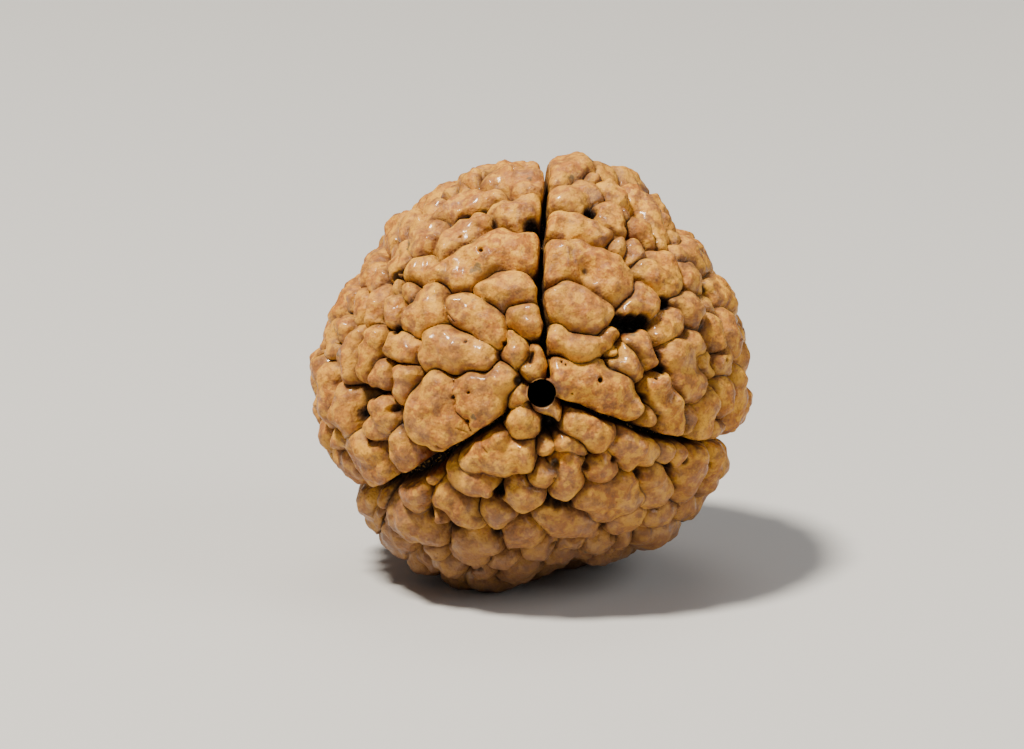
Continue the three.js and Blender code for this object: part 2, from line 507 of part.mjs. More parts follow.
const cleftStep = 0.42;
const lipOffset = 0.16;
const lipSpacing = 0.2;
const floorSpacing = 0.3;
for (const lip of [0, -1, 1]) {
  for (const { corners, halves } of clefts) {
    for (let i = 1; i < corners.length; i++) {
      const length = corners[i].distanceTo(corners[i - 1]) * meanRadius;
      const steps = Math.ceil(length / cleftStep);
      const across = new THREE.Vector3().crossVectors(corners[i - 1], corners[i]).normalize();
      for (let j = 0; j < steps; j++) {
        const point = corners[i - 1].clone().lerp(corners[i], j / steps).normalize();
        const half = halves[i - 1] + (j / steps) * (halves[i] - halves[i - 1]);
        point.addScaledVector(across, (lip * (half + lipOffset)) / meanRadius).normalize();
        const spacing = lip ? lipSpacing : floorSpacing;
        if (outsideBore(point, 0.2) && isFree(point, spacing)) directions.push(point);
      }
    }
  }
}

function spread(count) {
  const golden = Math.PI * (3 - Math.sqrt(5));
  return Array.from({ length: count }, (_, i) => {
    const height = 1 - (2 * i + 1) / count;
    const flat = Math.sqrt(1 - height * height);
    return new THREE.Vector3(flat * Math.cos(golden * i), flat * Math.sin(golden * i), height);
  });
}

// Move a direction sideways on to the crease beside it.
function ontoCrease(direction) {
  const point = direction.clone();
  const step = 0.02 / meanRadius;
  for (let i = 0; i < 2; i++) {
    const side = new THREE.Vector3(0.3, 0.5, 0.8).cross(point).normalize();
    const over = new THREE.Vector3().crossVectors(point, side);
    const here = relief(point).border;
    const slopes = [side, over].map((way) => {
      const beside = point.clone().addScaledVector(way, step).normalize();
      return (relief(beside).border - here) / 0.02;
    });
    const steep = slopes[0] ** 2 + slopes[1] ** 2;
    if (steep < 0.05) return null;
    point.addScaledVector(side, (-here * slopes[0]) / steep / meanRadius)
      .addScaledVector(over, (-here * slopes[1]) / steep / meanRadius)
      .normalize();
  }
  return point;
}

const creaseSpacing = 0.43;
const lobeSpacing = 0.53;
const creaseCandidates = 22000;
const lobeCandidates = 26000;
const creaseCatch = 0.16;   // a candidate this near a crease is moved on to it
const cleftRoom = 0.3;
for (const candidate of spread(creaseCandidates)) {
  const { border, cleft } = relief(candidate);
  if (border > creaseCatch || cleft < cleftRoom) continue;
  const point = ontoCrease(candidate);
  if (point && outsideBore(point, 0.25) && cleftGap(point) > cleftRoom && isFree(point, creaseSpacing)) {
    directions.push(point);
  }
}
for (const candidate of spread(lobeCandidates)) {
  if (outsideBore(candidate, 0.3) && isFree(candidate, lobeSpacing)) {
    if (cleftGap(candidate) > cleftRoom + 0.05) directions.push(candidate);
  }
}

// Points on a sphere have the triangles of their hull as the evenest mesh.
const hull = new ConvexHull().setFromPoints(directions);
const numberOf = new Map(directions.map((direction, i) => [direction, i]));
const triangles = [];
for (const face of hull.faces) {
  const corners = [0, 1, 2].map((i) => numberOf.get(face.getEdge(i).head().point));
  const inMouth = mouths.some((start) => corners.every((c) => c >= start && c < start + boreSides));
  if (!inMouth) triangles.push(...corners);
}
// The bore's wall joins the two mouths.
for (let i = 0; i < boreSides; i++) {
  const next = (i + 1) % boreSides;
  const [near, far] = mouths;
  triangles.push(near + i, near + next, far + i, near + next, far + next, far + i);
}

const positions = directions.flatMap((direction) => surfacePoint(direction).toArray());
const geometry = new THREE.BufferGeometry();
geometry.setAttribute("position", new THREE.Float32BufferAttribute(positions, 3));
geometry.setIndex(triangles);

const seed = new THREE.Mesh(geometry, new THREE.MeshStandardMaterial({ color: 0xbe874b }));
seed.name = "seed";

const part = new THREE.Group();
part.add(seed);
export default part;
console.log("lobes", lobes.length, "points", directions.length, "triangles", triangles.length / 3);
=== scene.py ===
import math

import bpy
import numpy as np
from mathutils import Matrix, Vector


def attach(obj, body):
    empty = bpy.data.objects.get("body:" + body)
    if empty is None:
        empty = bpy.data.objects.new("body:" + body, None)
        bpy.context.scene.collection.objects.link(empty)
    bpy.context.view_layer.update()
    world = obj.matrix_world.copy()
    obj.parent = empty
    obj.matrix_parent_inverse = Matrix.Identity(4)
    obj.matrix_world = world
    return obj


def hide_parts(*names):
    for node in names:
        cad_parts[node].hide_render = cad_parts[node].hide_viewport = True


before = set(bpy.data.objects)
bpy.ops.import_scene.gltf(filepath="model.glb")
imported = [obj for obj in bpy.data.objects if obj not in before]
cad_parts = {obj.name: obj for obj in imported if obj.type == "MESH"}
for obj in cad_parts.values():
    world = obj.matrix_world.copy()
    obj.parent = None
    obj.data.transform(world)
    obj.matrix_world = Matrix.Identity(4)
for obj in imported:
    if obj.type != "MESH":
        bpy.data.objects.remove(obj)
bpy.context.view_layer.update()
print("frame loaded")

mm = 0.001      # the lists below are in mm, Blender's own unit is the metre

# The seed: a ball of lobes with creases between them, three clefts and a drilled bore.
# x and y in the lists are a place on the flat front view, to the right of and above the
# seed's middle, seen from frontTilt degrees above level.
seedShape = {
    "frontTilt": 14,
    "meanRadius": 12,
    "layoutRadius": 11.55,      # the creases lie about this far from the seed's middle
    "seatDepth": 11.35,         # the seed's middle stands this high
    "outlineFade": (35, 80, 94, 114),       # degrees off the view's middle: in, full, full, out
    "limbStretch": 0.5,         # how much longer a lobe near the view's edge is than it looks
    "limbLimit": 0.12,
    "boreRadius": 0.76,
    "boreMouth": (0.54, -1.17),
    "boreRimDrop": 0.38,        # the lobes ease to this depth round the bore's mouths
    "boreEase": 0.12,
    "cleftDepth": 2.0,
    "cleftWall": (-0.02, 0.12), # foot and top of a cleft's wall, from the path's edge
    "cleftWaves": (1.5, 18),
    "cleftWander": 0.04,
    "cleftShoulder": 0.55,
    "cleftShoulderDrop": 0.55,
    "floorWaves": (0.6, 19),
    "floorBumps": 0.12,
    "backGap": 7,               # the clefts end this many degrees before the bore's far mouth
    "backStep": 4,              # degrees between their points round the back
    "backWander": 2.2,          # how many degrees they wander there
    "backWaves": 0.11,
    "backEase": 120,            # where the wander is full, in degrees from the near mouth
    "cellsAlong": (100, 3),     # squares along each side of the starting cube, in two goes
    "triangles": 188000,        # left after the flat places are thinned
    "creasePull": (0.04, 0.03), # rays this near a crease slide on to it, before and after thinning
    # angle in degrees and radius of the front view's edge
    "outline": [
        [-170, 12.15], [-160, 12.1], [-152, 11.75], [-146, 11.65], [-140, 12.1],
        [-130, 12.35], [-118, 12.4], [-108, 12.4], [-100, 12.1], [-93, 11.8],
        [-88, 11.5], [-82, 10.9], [-77, 10.75], [-70, 11.2], [-62, 11.4], [-54, 11.8],
        [-45, 11.9], [-30, 12.0], [-20, 11.8], [-8, 12.05], [5, 12.0],
        [18, 11.85], [30, 11.6], [40, 11.5], [47, 11.4], [54, 11.8],
        [62, 12.1], [75, 12.1], [84, 11.8], [92, 11.65], [100, 11.65],
        [106, 11.7], [114, 11.3], [123, 11.1], [129, 11.3], [136, 10.95], [141, 10.6],
        [147, 10.9], [158, 11.2], [168, 11.5], [178, 12.0],
    ],
    "backHalf": 0.13,           # half the width of a cleft round the back
    "cleftPinch": 0.05,         # how much nearer together the clefts' walls are
    # clefts as paths on the front view: x, y and half the width there
    "cleftPaths": [
        [[0.95, -0.3, 0.03], [0.95, 0.4, 0.05], [0.72, 1.2, 0.1], [0.6, 1.7, 0.15], [0.82, 2.6, 0.15],
            [0.62, 3.2, 0.12], [0.5, 4, 0.11], [0.55, 6, 0.13], [0.62, 7.5, 0.14], [0.68, 8.5, 0.16],
            [0.75, 9.6, 0.15], [0.88, 10.3, 0.13], [0.82, 11.2, 0.1]],
        [[-1.2, -2.2, 0.06], [-1.6, -2.6, 0.12], [-2.3, -3.1, 0.15], [-3, -3.5, 0.15],
            [-4, -4.1, 0.17], [-4.7, -4.65, 0.25], [-5.5, -5.15, 0.36], [-6.2, -5.6, 0.34],
            [-7, -5.95, 0.28], [-8, -6.3, 0.17], [-9.2, -6.5, 0.08], [-10.1, -6.3, 0.05]],
        [[1.25, -1.4, 0.04], [1.9, -1.75, 0.1], [2.5, -1.95, 0.12], [3.2, -2.2, 0.12], [4, -2.55, 0.12],
            [4.7, -2.75, 0.14], [5.3, -3.0, 0.17], [6, -3.3, 0.2], [6.5, -3.5, 0.2], [7.5, -3.65, 0.17],
            [8.6, -3.9, 0.16], [9.3, -3.95, 0.1], [10.2, -3.9, 0.05], [10.9, -3.8, 0.05]],
    ],
    # each row is one lobe made of swellings [x, y, radius] that flow into one another
    "frontLobes": [
        # right of the upper cleft
        [[1.6, 3.7, 1.0], [2.5, 3.45, 1.15], [3.3, 3.05, 1.05]],
        [[1.3, 1.7, 0.65], [2.3, 1.35, 0.65], [3.2, 1.3, 0.65], [4.0, 1.8, 0.4], [4.45, 2.05, 0.3]],
        [[1.5, 5.5, 0.8], [1.6, 6.2, 0.95], [2.6, 6.3, 0.8], [3.6, 5.9, 0.8], [4.3, 5.1, 1.15],
            [4.8, 4.3, 0.6]],
        [[5.7, 3.9, 0.8], [6.3, 3.7, 0.75], [5.1, 3.2, 0.35]],
        [[5.8, 1.4, 0.75], [6.3, 0.6, 0.4]],
        [[5.2, 0.3, 1.0]],
        [[4.35, 1.1, 0.25]],
        [[1.6, -0.2, 0.75], [2.3, -0.8, 0.9], [3.1, -0.4, 0.9], [3.9, -1.2, 1.0], [4.6, -0.9, 0.9],
            [4.6, -1.8, 0.7], [5.4, -1.9, 0.6]],
        [[1.5, 8.0, 0.75], [2.4, 7.8, 0.75], [3.3, 7.5, 0.6], [4.0, 7.3, 0.4]],
        [[1.9, 9.3, 0.85], [3.0, 9.7, 0.7]],
        [[1.9, 11.0, 1.0], [2.6, 11.1, 0.9], [1.5, 10.4, 0.5]],
        [[4.2, 8.5, 0.75], [4.4, 7.9, 0.55]],
        [[4.1, 9.7, 0.6], [4.7, 9.3, 0.4]],
        [[5.1, 8.4, 0.35]],
        [[4.72, 6.95, 0.48]],
        [[5.65, 6.7, 0.5], [5.95, 6.2, 0.45]],
        [[5.9, 7.8, 0.65], [6.4, 7.3, 0.4]],
        [[3.5, 10.8, 0.7], [3.3, 10.3, 0.4]],
        [[4.7, 10.5, 0.65], [5.4, 10.5, 0.75], [6.2, 10.1, 0.5]],
        [[5.6, 9.4, 0.5], [6.3, 9.1, 0.65], [6.8, 8.5, 0.65], [7.1, 7.8, 0.55], [7.2, 7.2, 0.4]],
        [[6.8, 9.7, 0.5], [7.35, 9.0, 0.45], [7.7, 8.4, 0.4]],
        [[8.0, 7.5, 0.5]],
        [[8.8, 6.7, 0.8], [8.3, 6.3, 0.6], [9.4, 6.2, 0.55]],
        [[6.5, 5.5, 0.75], [7.3, 6.0, 0.7], [7.5, 4.9, 0.8]],
        [[8.7, 5.6, 0.7], [8.9, 4.9, 0.55]],
        [[8.6, 3.5, 0.85], [8.0, 3.8, 0.5], [8.9, 3.0, 0.6]],
        [[7.7, 2.75, 0.6], [7.3, 2.2, 0.6], [6.8, 2.0, 0.4]],
        [[7.8, 0.9, 0.9], [8.8, 1.6, 0.7], [8.1, 0.0, 0.75], [8.4, -0.8, 0.7], [9.0, -0.7, 0.7]],
        [[9.3, 0.55, 0.45], [9.55, 0.1, 0.3]],
        [[10.3, 4.6, 0.7], [10.7, 3.9, 0.6]],
        [[9.7, 3.6, 0.4]],
        [[9.9, 2.4, 0.55], [10.1, 1.6, 0.5]],
        [[10.8, 2.5, 0.6], [10.9, 1.6, 0.55]],
        [[10.4, 0.5, 0.6]],
        [[6.95, -0.9, 0.65], [7.3, -1.8, 0.9], [7.7, -2.7, 0.75], [7.9, -3.2, 0.4]],
        [[8.6, -2.5, 0.4], [8.5, -3.1, 0.3]],
        [[6.3, -2.45, 0.45]],
        [[9.5, -1.9, 0.7], [9.3, -2.8, 0.7], [9.1, -3.4, 0.4]],
        [[10.4, -0.9, 0.6], [10.4, -1.9, 0.5]],
        [[10.1, -3.1, 0.45]],
        [[11.2, -0.6, 0.5], [11.2, -1.6, 0.5], [11.0, -2.5, 0.5]],
        [[11.5, 0.8, 0.5]],
        [[11.4, 2.6, 0.5]],
        # left of the upper cleft
        [[-2.2, 4.35, 0.7], [-1.3, 4.4, 1.05], [-0.45, 4.3, 0.8]],
        [[-0.8, 3.0, 0.45], [-0.15, 3.1, 0.6], [0.1, 2.6, 0.45], [0.1, 2.2, 0.3]],
        [[-4.05, 3.6, 0.7], [-3.2, 3.1, 0.8], [-2.3, 2.5, 0.9], [-2.0, 2.0, 0.6]],
        [[-1.0, 2.0, 0.25], [-0.9, 1.4, 0.5], [-0.75, 0.85, 0.6]],
        [[0.4, 1.0, 0.3], [0.5, 0.5, 0.35], [0.3, 0.0, 0.4], [-0.1, 0.05, 0.3]],
        [[-6.3, 2.9, 0.8], [-5.6, 3.7, 0.95], [-5.3, 3.0, 0.85], [-5.0, 4.5, 0.4]],
        [[-4.9, 1.4, 1.05], [-3.8, 1.0, 0.95], [-2.7, 0.85, 0.8], [-5.5, 0.6, 0.5]],
        [[-0.6, 6.6, 1.0], [-1.7, 6.6, 1.1], [-2.9, 6.2, 1.1], [-4.0, 5.5, 0.9], [-5.0, 5.25, 0.75],
            [-6.25, 5.65, 0.75], [-3.6, 5.0, 0.7], [-0.7, 5.9, 0.7]],
        [[-2.75, 8.15, 0.6], [-3.5, 7.7, 0.6], [-4.2, 7.35, 0.8], [-4.5, 6.7, 0.7]],
        [[-1.3, 8.65, 0.8], [-0.6, 9.0, 0.6], [0.1, 9.2, 0.5]],
        [[-1.8, 10.7, 0.7], [-1.1, 10.7, 0.8], [-0.3, 10.6, 0.8], [0.1, 9.9, 0.65]],
        [[-2.9, 10.7, 0.65], [-3.6, 10.5, 0.65]],
        [[-1.4, 11.5, 0.4], [-2.6, 11.25, 0.45]],
        [[-2.0, 9.6, 0.5], [-3.1, 9.4, 0.6], [-4.2, 9.3, 0.8], [-5.1, 8.7, 0.75]],
        [[-4.6, 10.1, 0.6]],
        [[-6.3, 6.8, 0.65], [-6.3, 7.5, 0.7], [-5.6, 8.0, 0.7], [-5.6, 7.2, 0.5], [-6.2, 8.4, 0.6]],
        [[-7.2, 8.0, 0.6], [-6.8, 8.8, 0.6]],
        [[-5.6, 9.4, 0.65]],
        [[-8.05, 7.0, 0.35]],
        [[-7.4, 6.9, 0.55], [-7.6, 6.2, 0.75], [-7.1, 6.0, 0.6]],
        [[-5.0, -1.0, 0.95], [-5.7, -2.3, 1.2], [-4.8, -3.1, 1.2], [-6.0, -3.0, 0.9],
            [-4.2, -3.1, 0.9], [-1.8, -0.5, 0.85], [-3.1, -0.8, 0.8], [-2.5, -1.7, 0.95],
            [-3.2, -1.8, 0.8], [-2.7, -2.6, 0.7]],
        [[-0.65, -1.3, 0.5], [-1.1, -1.6, 0.3]],
        [[-7.3, 4.7, 0.45]],
        [[-7.6, 3.7, 0.55], [-7.6, 3.0, 0.5]],
        [[-6.8, 4.45, 0.4], [-6.35, 3.95, 0.35]],
        [[-8.55, 4.3, 0.5], [-8.7, 3.6, 0.6], [-8.75, 2.9, 0.45]],
        [[-9.6, 4.2, 0.45], [-9.7, 3.4, 0.45]],
        [[-8.7, 5.4, 0.7]],
        [[-9.7, 1.8, 0.6], [-10.0, 1.0, 0.65], [-9.9, 0.1, 0.5]],
        [[-8.6, 1.8, 0.65], [-8.9, 1.0, 0.6], [-9.1, 0.1, 0.45]],
        [[-8.2, 0.0, 0.55], [-8.3, -0.45, 0.4]],
        [[-7.4, 1.5, 0.6], [-6.7, 1.1, 0.6]],
        [[-6.85, -0.3, 0.7], [-6.9, -0.9, 0.6]],
        [[-10.1, -1.4, 0.55], [-10.3, -2.2, 0.7], [-10.0, -2.8, 0.6]],
        [[-8.0, -2.3, 0.8], [-8.4, -3.2, 0.55]],
        [[-7.1, -3.8, 0.8], [-6.9, -4.7, 0.75]],
        [[-9.2, -4.4, 0.9], [-8.7, -5.3, 0.9], [-8.1, -5.5, 0.6], [-8.4, -4.4, 0.5]],
        [[-10.3, 4.1, 0.45]],
        [[-10.7, 2.6, 0.5]],
        [[-11.0, 1.5, 0.45]],
        [[-11.1, -0.3, 0.5], [-11.1, -1.2, 0.45], [-11.0, -2.1, 0.4]],
        [[-11.5, 0.6, 0.4]],
        [[-10.9, -3.7, 0.55]],
        [[-10.4, -5.0, 0.55]],
        # between the two lower clefts
        [[0.95, -1.95, 0.4], [1.2, -2.25, 0.35], [0.5, -2.0, 0.25], [1.4, -2.6, 0.2]],
        [[-0.55, -2.8, 0.9]],
        [[2.6, -2.85, 0.85], [3.2, -3.15, 1.05], [3.65, -3.4, 0.85]],
        [[1.75, -3.9, 0.4], [2.5, -4.25, 0.45]],
        [[0.75, -4.1, 0.4]],
        [[0.6, -5.7, 0.65]],
        [[2.1, -5.2, 0.75], [1.9, -6.2, 0.75]],
        [[3.8, -5.2, 0.75]],
        [[-1.7, -3.6, 0.45], [-2.4, -4.5, 0.85], [-3.2, -5.0, 0.6], [-1.4, -4.8, 0.9], [-0.4, -4.6, 0.75]],
        [[-4.1, -5.5, 0.5], [-3.3, -6.0, 0.8], [-2.5, -6.2, 0.65]],
        [[-5.4, -5.75, 0.33]],
        [[-0.4, -6.7, 0.95]],
        [[-4.5, -6.8, 0.75], [-3.7, -7.4, 0.7], [-3.2, -8.0, 0.55]],
        [[-1.9, -7.7, 0.75]],
        [[-3.3, -9.2, 0.8], [-2.5, -9.3, 0.7], [-3.0, -9.8, 0.6]],
        [[-0.5, -8.9, 0.95]],
        [[-6.3, -6.75, 0.75]],
        [[-7.3, -7.5, 0.5], [-6.6, -8.0, 0.8], [-5.6, -8.5, 0.85], [-4.9, -8.7, 0.5]],
        [[-4.8, -7.9, 0.35]],
        [[-5.0, -9.5, 0.5]],
        [[-4.3, -10.2, 0.55]],
        [[-1.6, -10.2, 0.6]],
        [[-3.6, -11.3, 0.8]],
        [[-2.0, -11.3, 0.8]],
        [[-0.6, -11.1, 0.7]],
        [[-7.9, -7.0, 0.4]],
        [[-8.9, -7.2, 0.6], [-8.5, -7.9, 0.65], [-8.1, -8.5, 0.4]],
        [[-9.5, -7.2, 0.4], [-9.2, -7.9, 0.4]],
        [[-7.6, -9.0, 0.7], [-6.9, -9.5, 0.7]],
        [[-6.1, -10.3, 0.75]],
        [[3.4, -6.8, 1.0], [4.6, -6.6, 1.0], [4.0, -7.6, 0.8], [5.3, -7.0, 0.8]],
        [[0.9, -7.9, 0.5], [1.5, -8.2, 0.8], [2.3, -8.6, 0.9], [3.1, -8.8, 0.6]],
        [[5.1, -8.35, 0.7], [5.8, -7.9, 0.4]],
        [[0.6, -10, 0.7]],
        [[2.2, -9.9, 0.6]],
        [[3.7, -9.9, 0.8]],
        [[5, -9.5, 0.6]],
        [[5.0, -3.8, 0.7], [5.8, -4.1, 0.7], [6.4, -4.5, 0.5], [5.3, -4.9, 0.5]],
        [[7.3, -4.4, 0.5]],
        [[8.0, -4.6, 0.45]],
        [[6.6, -5.9, 0.75], [6.8, -6.8, 0.75]],
        [[9.1, -4.7, 0.55], [8.9, -5.4, 0.6], [8.6, -6.1, 0.55], [8.2, -6.7, 0.4]],
        [[10.2, -4.6, 0.5], [10.0, -5.5, 0.45], [9.6, -6.2, 0.4]],
        [[9.6, -6.9, 0.35], [9.1, -7.5, 0.4], [8.4, -8.0, 0.4]],
        [[7.0, -7.9, 0.6], [7.6, -7.6, 0.4], [6.4, -8.1, 0.4]],
        [[6.8, -9.1, 0.75], [7.6, -8.7, 0.6], [6.0, -9.2, 0.5]],
    ],
    # lobes that the seed rests on: x and y on the floor, and radius
    "footLobes": [
        [-2.8, -1.9, 1.1], [-0.1, -1.2, 1.15], [-3.0, 0.9, 1.1], [-1.3, 1.0, 0.8], [2.2, 1.1, 1.2],
        [0.3, 2.9, 1.05], [3.2, 3.2, 1.0], [-2.2, 3.3, 1.0],
    ],
    # pits between the lobes: x, y, radius, depth
    "pits": [
        [4.8, 2.6, 0.45, 1.8], [5.4, 2.6, 0.5, 2.0], [6.0, 2.7, 0.4, 1.8], [3.2, 8.6, 0.35, 1.4],
        [7.25, 3.7, 0.35, 1.5],
        [9.6, 4.8, 0.35, 1.3], [9.2, 2.6, 0.3, 1.1], [6.75, 0.85, 0.25, 1.5], [7.0, 0.1, 0.25, 1.5],
        [6.0, -1.5, 0.25, 1.2], [10.2, 3.1, 0.3, 1.1], [9.6, 1.1, 0.25, 1.0], [5.1, 9.3, 0.2, 1.1],
        [5.7, 8.5, 0.2, 1.1], [5.1, 7.8, 0.2, 1.1], [6.2, 6.9, 0.2, 1.1], [7.9, 7.0, 0.2, 1.1],
        [0.1, 8.05, 0.4, 1.5], [-3.8, 8.5, 0.35, 1.4], [-2.6, 8.85, 0.22, 1.2], [-2.05, 8.0, 0.18, 1.0],
        [-0.75, -0.5, 0.25, 1.1], [-7.6, 5.15, 0.25, 1.4], [-7.1, 5.3, 0.25, 1.3], [-7.3, 2.2, 0.25, 1.3],
        [-9.4, 2.8, 0.2, 1.1], [-9.2, -2.4, 0.4, 1.5], [-8.4, -1.2, 0.35, 1.5], [-8.8, -3.6, 0.25, 1.1],
        [-7.4, -2.05, 0.25, 1.1], [-6.95, -2.9, 0.22, 1.1], [0.98, -2.9, 0.42, 1.8], [1.3, -5.0, 0.2, 1.0],
        [2.9, -5.1, 0.2, 1.0], [4.4, -4.75, 0.2, 1.0], [5.75, -5.6, 0.22, 1.1], [-1.75, -6.5, 0.35, 1.4],
        [-4.2, -8.3, 0.3, 1.2], [-1.8, -8.7, 0.3, 1.2], [-5.3, -7.6, 0.25, 1.2], [0.85, -7.1, 0.25, 1.2],
        [1.4, -7.25, 0.25, 1.2], [2.0, -7.2, 0.25, 1.2], [3.9, -8.6, 0.25, 1.1], [4.6, -9.2, 0.25, 1.1],
        [1.2, -9.7, 0.22, 1.0],
        [7.4, -5.2, 0.28, 1.3], [8.4, -4.9, 0.2, 1.2], [9.75, -5.1, 0.2, 1.0], [7.8, -6.4, 0.2, 1.0],
        [7.9, -7.4, 0.2, 1.0], [-7.85, -7.9, 0.2, 1.0], [-5.5, -5.35, 0.2, 1.3],
    ],
}

# Small marks on the lobes, on the same front view, and how many more are strewn about.
marks = {
    # pinholes: x, y, radius, depth
    "pinholes": [
        (4.1, 0.55, 0.06, 0.25), (3.55, -0.45, 0.13, 0.6), (1.6, 0.5, 0.07, 0.3), (1.8, 0.35, 0.07, 0.3),
        (2.1, -1.15, 0.07, 0.2), (10.25, 0.6, 0.1, 0.4), (9.6, 1.1, 0.1, 0.4), (11.1, 1.0, 0.08, 0.3),
        (-1.45, 1.5, 0.12, 0.5), (-3.45, 1.55, 0.1, 0.35), (-2.6, 6.2, 0.12, 0.35), (-3.3, -1.1, 0.09, 0.3),
        (-4.15, -1.35, 0.1, 0.35), (-3.4, -2.65, 0.1, 0.4), (-7.15, 8.0, 0.1, 0.4), (7.65, 6.6, 0.1, 0.4),
        (7.3, -8.4, 0.1, 0.4), (-7.75, -7.4, 0.1, 0.4), (8.5, -6.9, 0.1, 0.4), (6.3, -7.7, 0.1, 0.4),
        (0.8, -8.6, 0.09, 0.3), (2.65, -9.65, 0.1, 0.35), (-1.3, -11.2, 0.1, 0.35), (1.2, -5.7, 0.08, 0.3),
        (2.9, 5.4, 0.3, 0.22), (-1.2, 3.9, 0.05, 0.15), (6.6, -0.4, 0.08, 0.3),
    ],
    # fine cracks, and the worn lip of the upper cleft: half width, depth and path
    "cracks": [
        (0.035, 0.22, [(-4.2, -0.5), (-4.1, -1.4), (-4.0, -2.1), (-3.4, -2.7), (-3.1, -3.4)]),
        (0.035, 0.2, [(-4.9, -3.8), (-4.3, -4.2)]),
        (0.035, 0.2, [(-4.5, 3.1), (-4.1, 2.65)]),
        (0.1, 0.4, [(0.05, 0.95), (-0.05, 0.5)]),
        (0.2, 1.2, [(0.42, 5.4), (0.38, 5.1), (0.42, 4.8)]),
        (0.05, 0.2, [(-2.68, 10.8), (-2.66, 10.45)]),
        (0.05, 0.2, [(-0.95, 10.75), (-0.98, 10.55)]),
        (0.05, 0.25, [(-3.65, 10.25), (-3.2, 10.1)]),
        (0.05, 0.25, [(-1.15, 9.75), (-0.8, 9.55)]),
        (0.08, 0.4, [(-4.0, -10.7), (-3.2, -10.5), (-2.5, -10.5)]),
        (0.08, 0.4, [(-7.3, 6.2), (-7.3, 6.5)]),
        (0.07, 0.35, [(-7.9, -7.7), (-7.85, -8.0), (-7.75, -8.3)]),
        (0.1, 0.5, [(-7.8, 5.2), (-7.4, 5.55), (-6.8, 5.6)]),
        (0.08, 0.4, [(7.9, -6.2), (7.7, -6.7)]),
        (0.09, 0.5, [(6.75, -2.4), (6.75, -3.0)]),
        (0.08, 0.4, [(10.4, -2.4), (10.4, -2.8)]),
        (0.08, 0.4, [(9.65, -3.0), (9.55, -3.4)]),
        (0.1, 0.6, [(6.8, 0.6), (7.1, 0.0)]),
        (0.06, 0.3, [(-8.4, -8.7), (-8.0, -8.9)]),
        (0.06, 0.3, [(-7.1, -8.9), (-6.7, -9.1)]),
        (0.03, 0.14, [(1.1, 6.9), (2.1, 6.95), (3.0, 6.85), (3.6, 6.6)]),
        (0.03, 0.12, [(-3.9, -2.9), (-3.4, -3.2)]),
        (0.03, 0.12, [(-2.8, -3.2), (-2.6, -3.9), (-2.3, -4.2)]),
    ],
    # where the creases are faint: x, y, radius
    "faint": [
        (-6.5, 7.6, 1.6), (-8.3, 6.3, 1.2), (-9.0, 4.9, 1.0), (-5.3, 9.0, 1.2), (-4.8, 10.2, 1.0),
        (7.2, 5.0, 1.5), (5.0, 9.3, 1.2), (6.8, 8.2, 1.5), (8.6, 6.8, 1.3), (3.5, 9.8, 0.8),
        (1.6, -4.2, 1.0), (3.2, 1.1, 0.9), (-2.2, 1.4, 0.7), (-3.5, -4.6, 0.8), (5.4, -7.2, 2.2),
        (3.6, -5.8, 1.3), (1.2, -5.7, 0.8), (7.9, -8.4, 1.4), (2.4, -9.2, 1.2), (8.4, -5.0, 1.0),
        (-3.4, 5.5, 0.9), (-0.6, -4.4, 0.8),
    ],
    "faintStart": 30,
    # pinholes and cracks strewn at random: sizes in mm, and a hole's depth in its radii
    "strewnStart": 77,
    "strewnBehind": 0.4,        # cosine: none are strewn nearer to the view's middle
    "strewnHoles": 130,
    "holeSizes": (0.04, 0.09),
    "holeDepths": (2.5, 4),
    "strewnCracks": 90,
    "crackCorners": (2, 5),
    "crackSteps": (0.3, 0.5),
    "crackBend": 0.5,
    "crackHalves": (0.02, 0.035),
    "crackDepths": (0.08, 0.18),
    # reddish brown stains: x, y, radius
    "rust": [
        (6.9, 2.2, 0.55), (7.0, 0.9, 0.5), (-6.1, -4.7, 0.6), (-8.9, -3.8, 0.5), (-2.6, -3.9, 0.5),
        (1.5, -1.8, 0.35), (6.9, 0.2, 0.4), (5.2, 2.1, 0.8), (-9.2, -2.3, 0.6), (-8.3, -1.2, 0.5),
        (3.3, 8.6, 0.45), (-1.9, -6.6, 0.5), (-5.5, -5.4, 0.7), (7.2, 3.7, 0.5), (-3.9, 8.6, 0.5),
    ],
    # blue-grey stains
    "slate": [
        (-1.3, 11.2, 0.3), (-0.1, 10.25, 0.3), (-0.7, 9.3, 0.35), (2.95, 9.85, 0.35), (-2.9, -2.35, 0.3),
        (5.2, 2.1, 0.5),
    ],
    "strewnRust": 40,
    "strewnSlate": 12,
    "stainSizes": (0.3, 0.6),
    "rustStart": 31,
    "slateStart": 32,
    "toneStart": 5,
}

tilt = math.radians(seedShape["frontTilt"])
frontRight = np.array((1.0, 0.0, 0.0))
frontUp = np.array((0.0, math.sin(tilt), math.cos(tilt)))
frontOut = np.array((0.0, -math.cos(tilt), math.sin(tilt)))
meanRadius = seedShape["meanRadius"]
farAway = 99.0                  # a gap in mm where nothing is near

# cosines: a ray at least this near to a thing is measured from it
nearTo = {
    "path": 0.85,
    "crack": 0.97,
    "pit": 0.99,
    "hole": 0.998,
}


def unit(vectors):
    return vectors / np.linalg.norm(vectors, axis=-1, keepdims=True)


def fromFront(x, y):
    across, above = x / seedShape["layoutRadius"], y / seedShape["layoutRadius"]
    towards = math.sqrt(max(0, 1 - across * across - above * above))
    return unit(frontRight * across + frontUp * above + frontOut * towards)


def smoothStep(start, end, value):
    part = np.clip((value - start) / (end - start), 0, 1)
    return part * part * (3 - 2 * part)


boreAxis = fromFront(*seedShape["boreMouth"])
boreSide = unit(np.cross(frontUp, boreAxis))
boreTop = np.cross(boreAxis, boreSide)


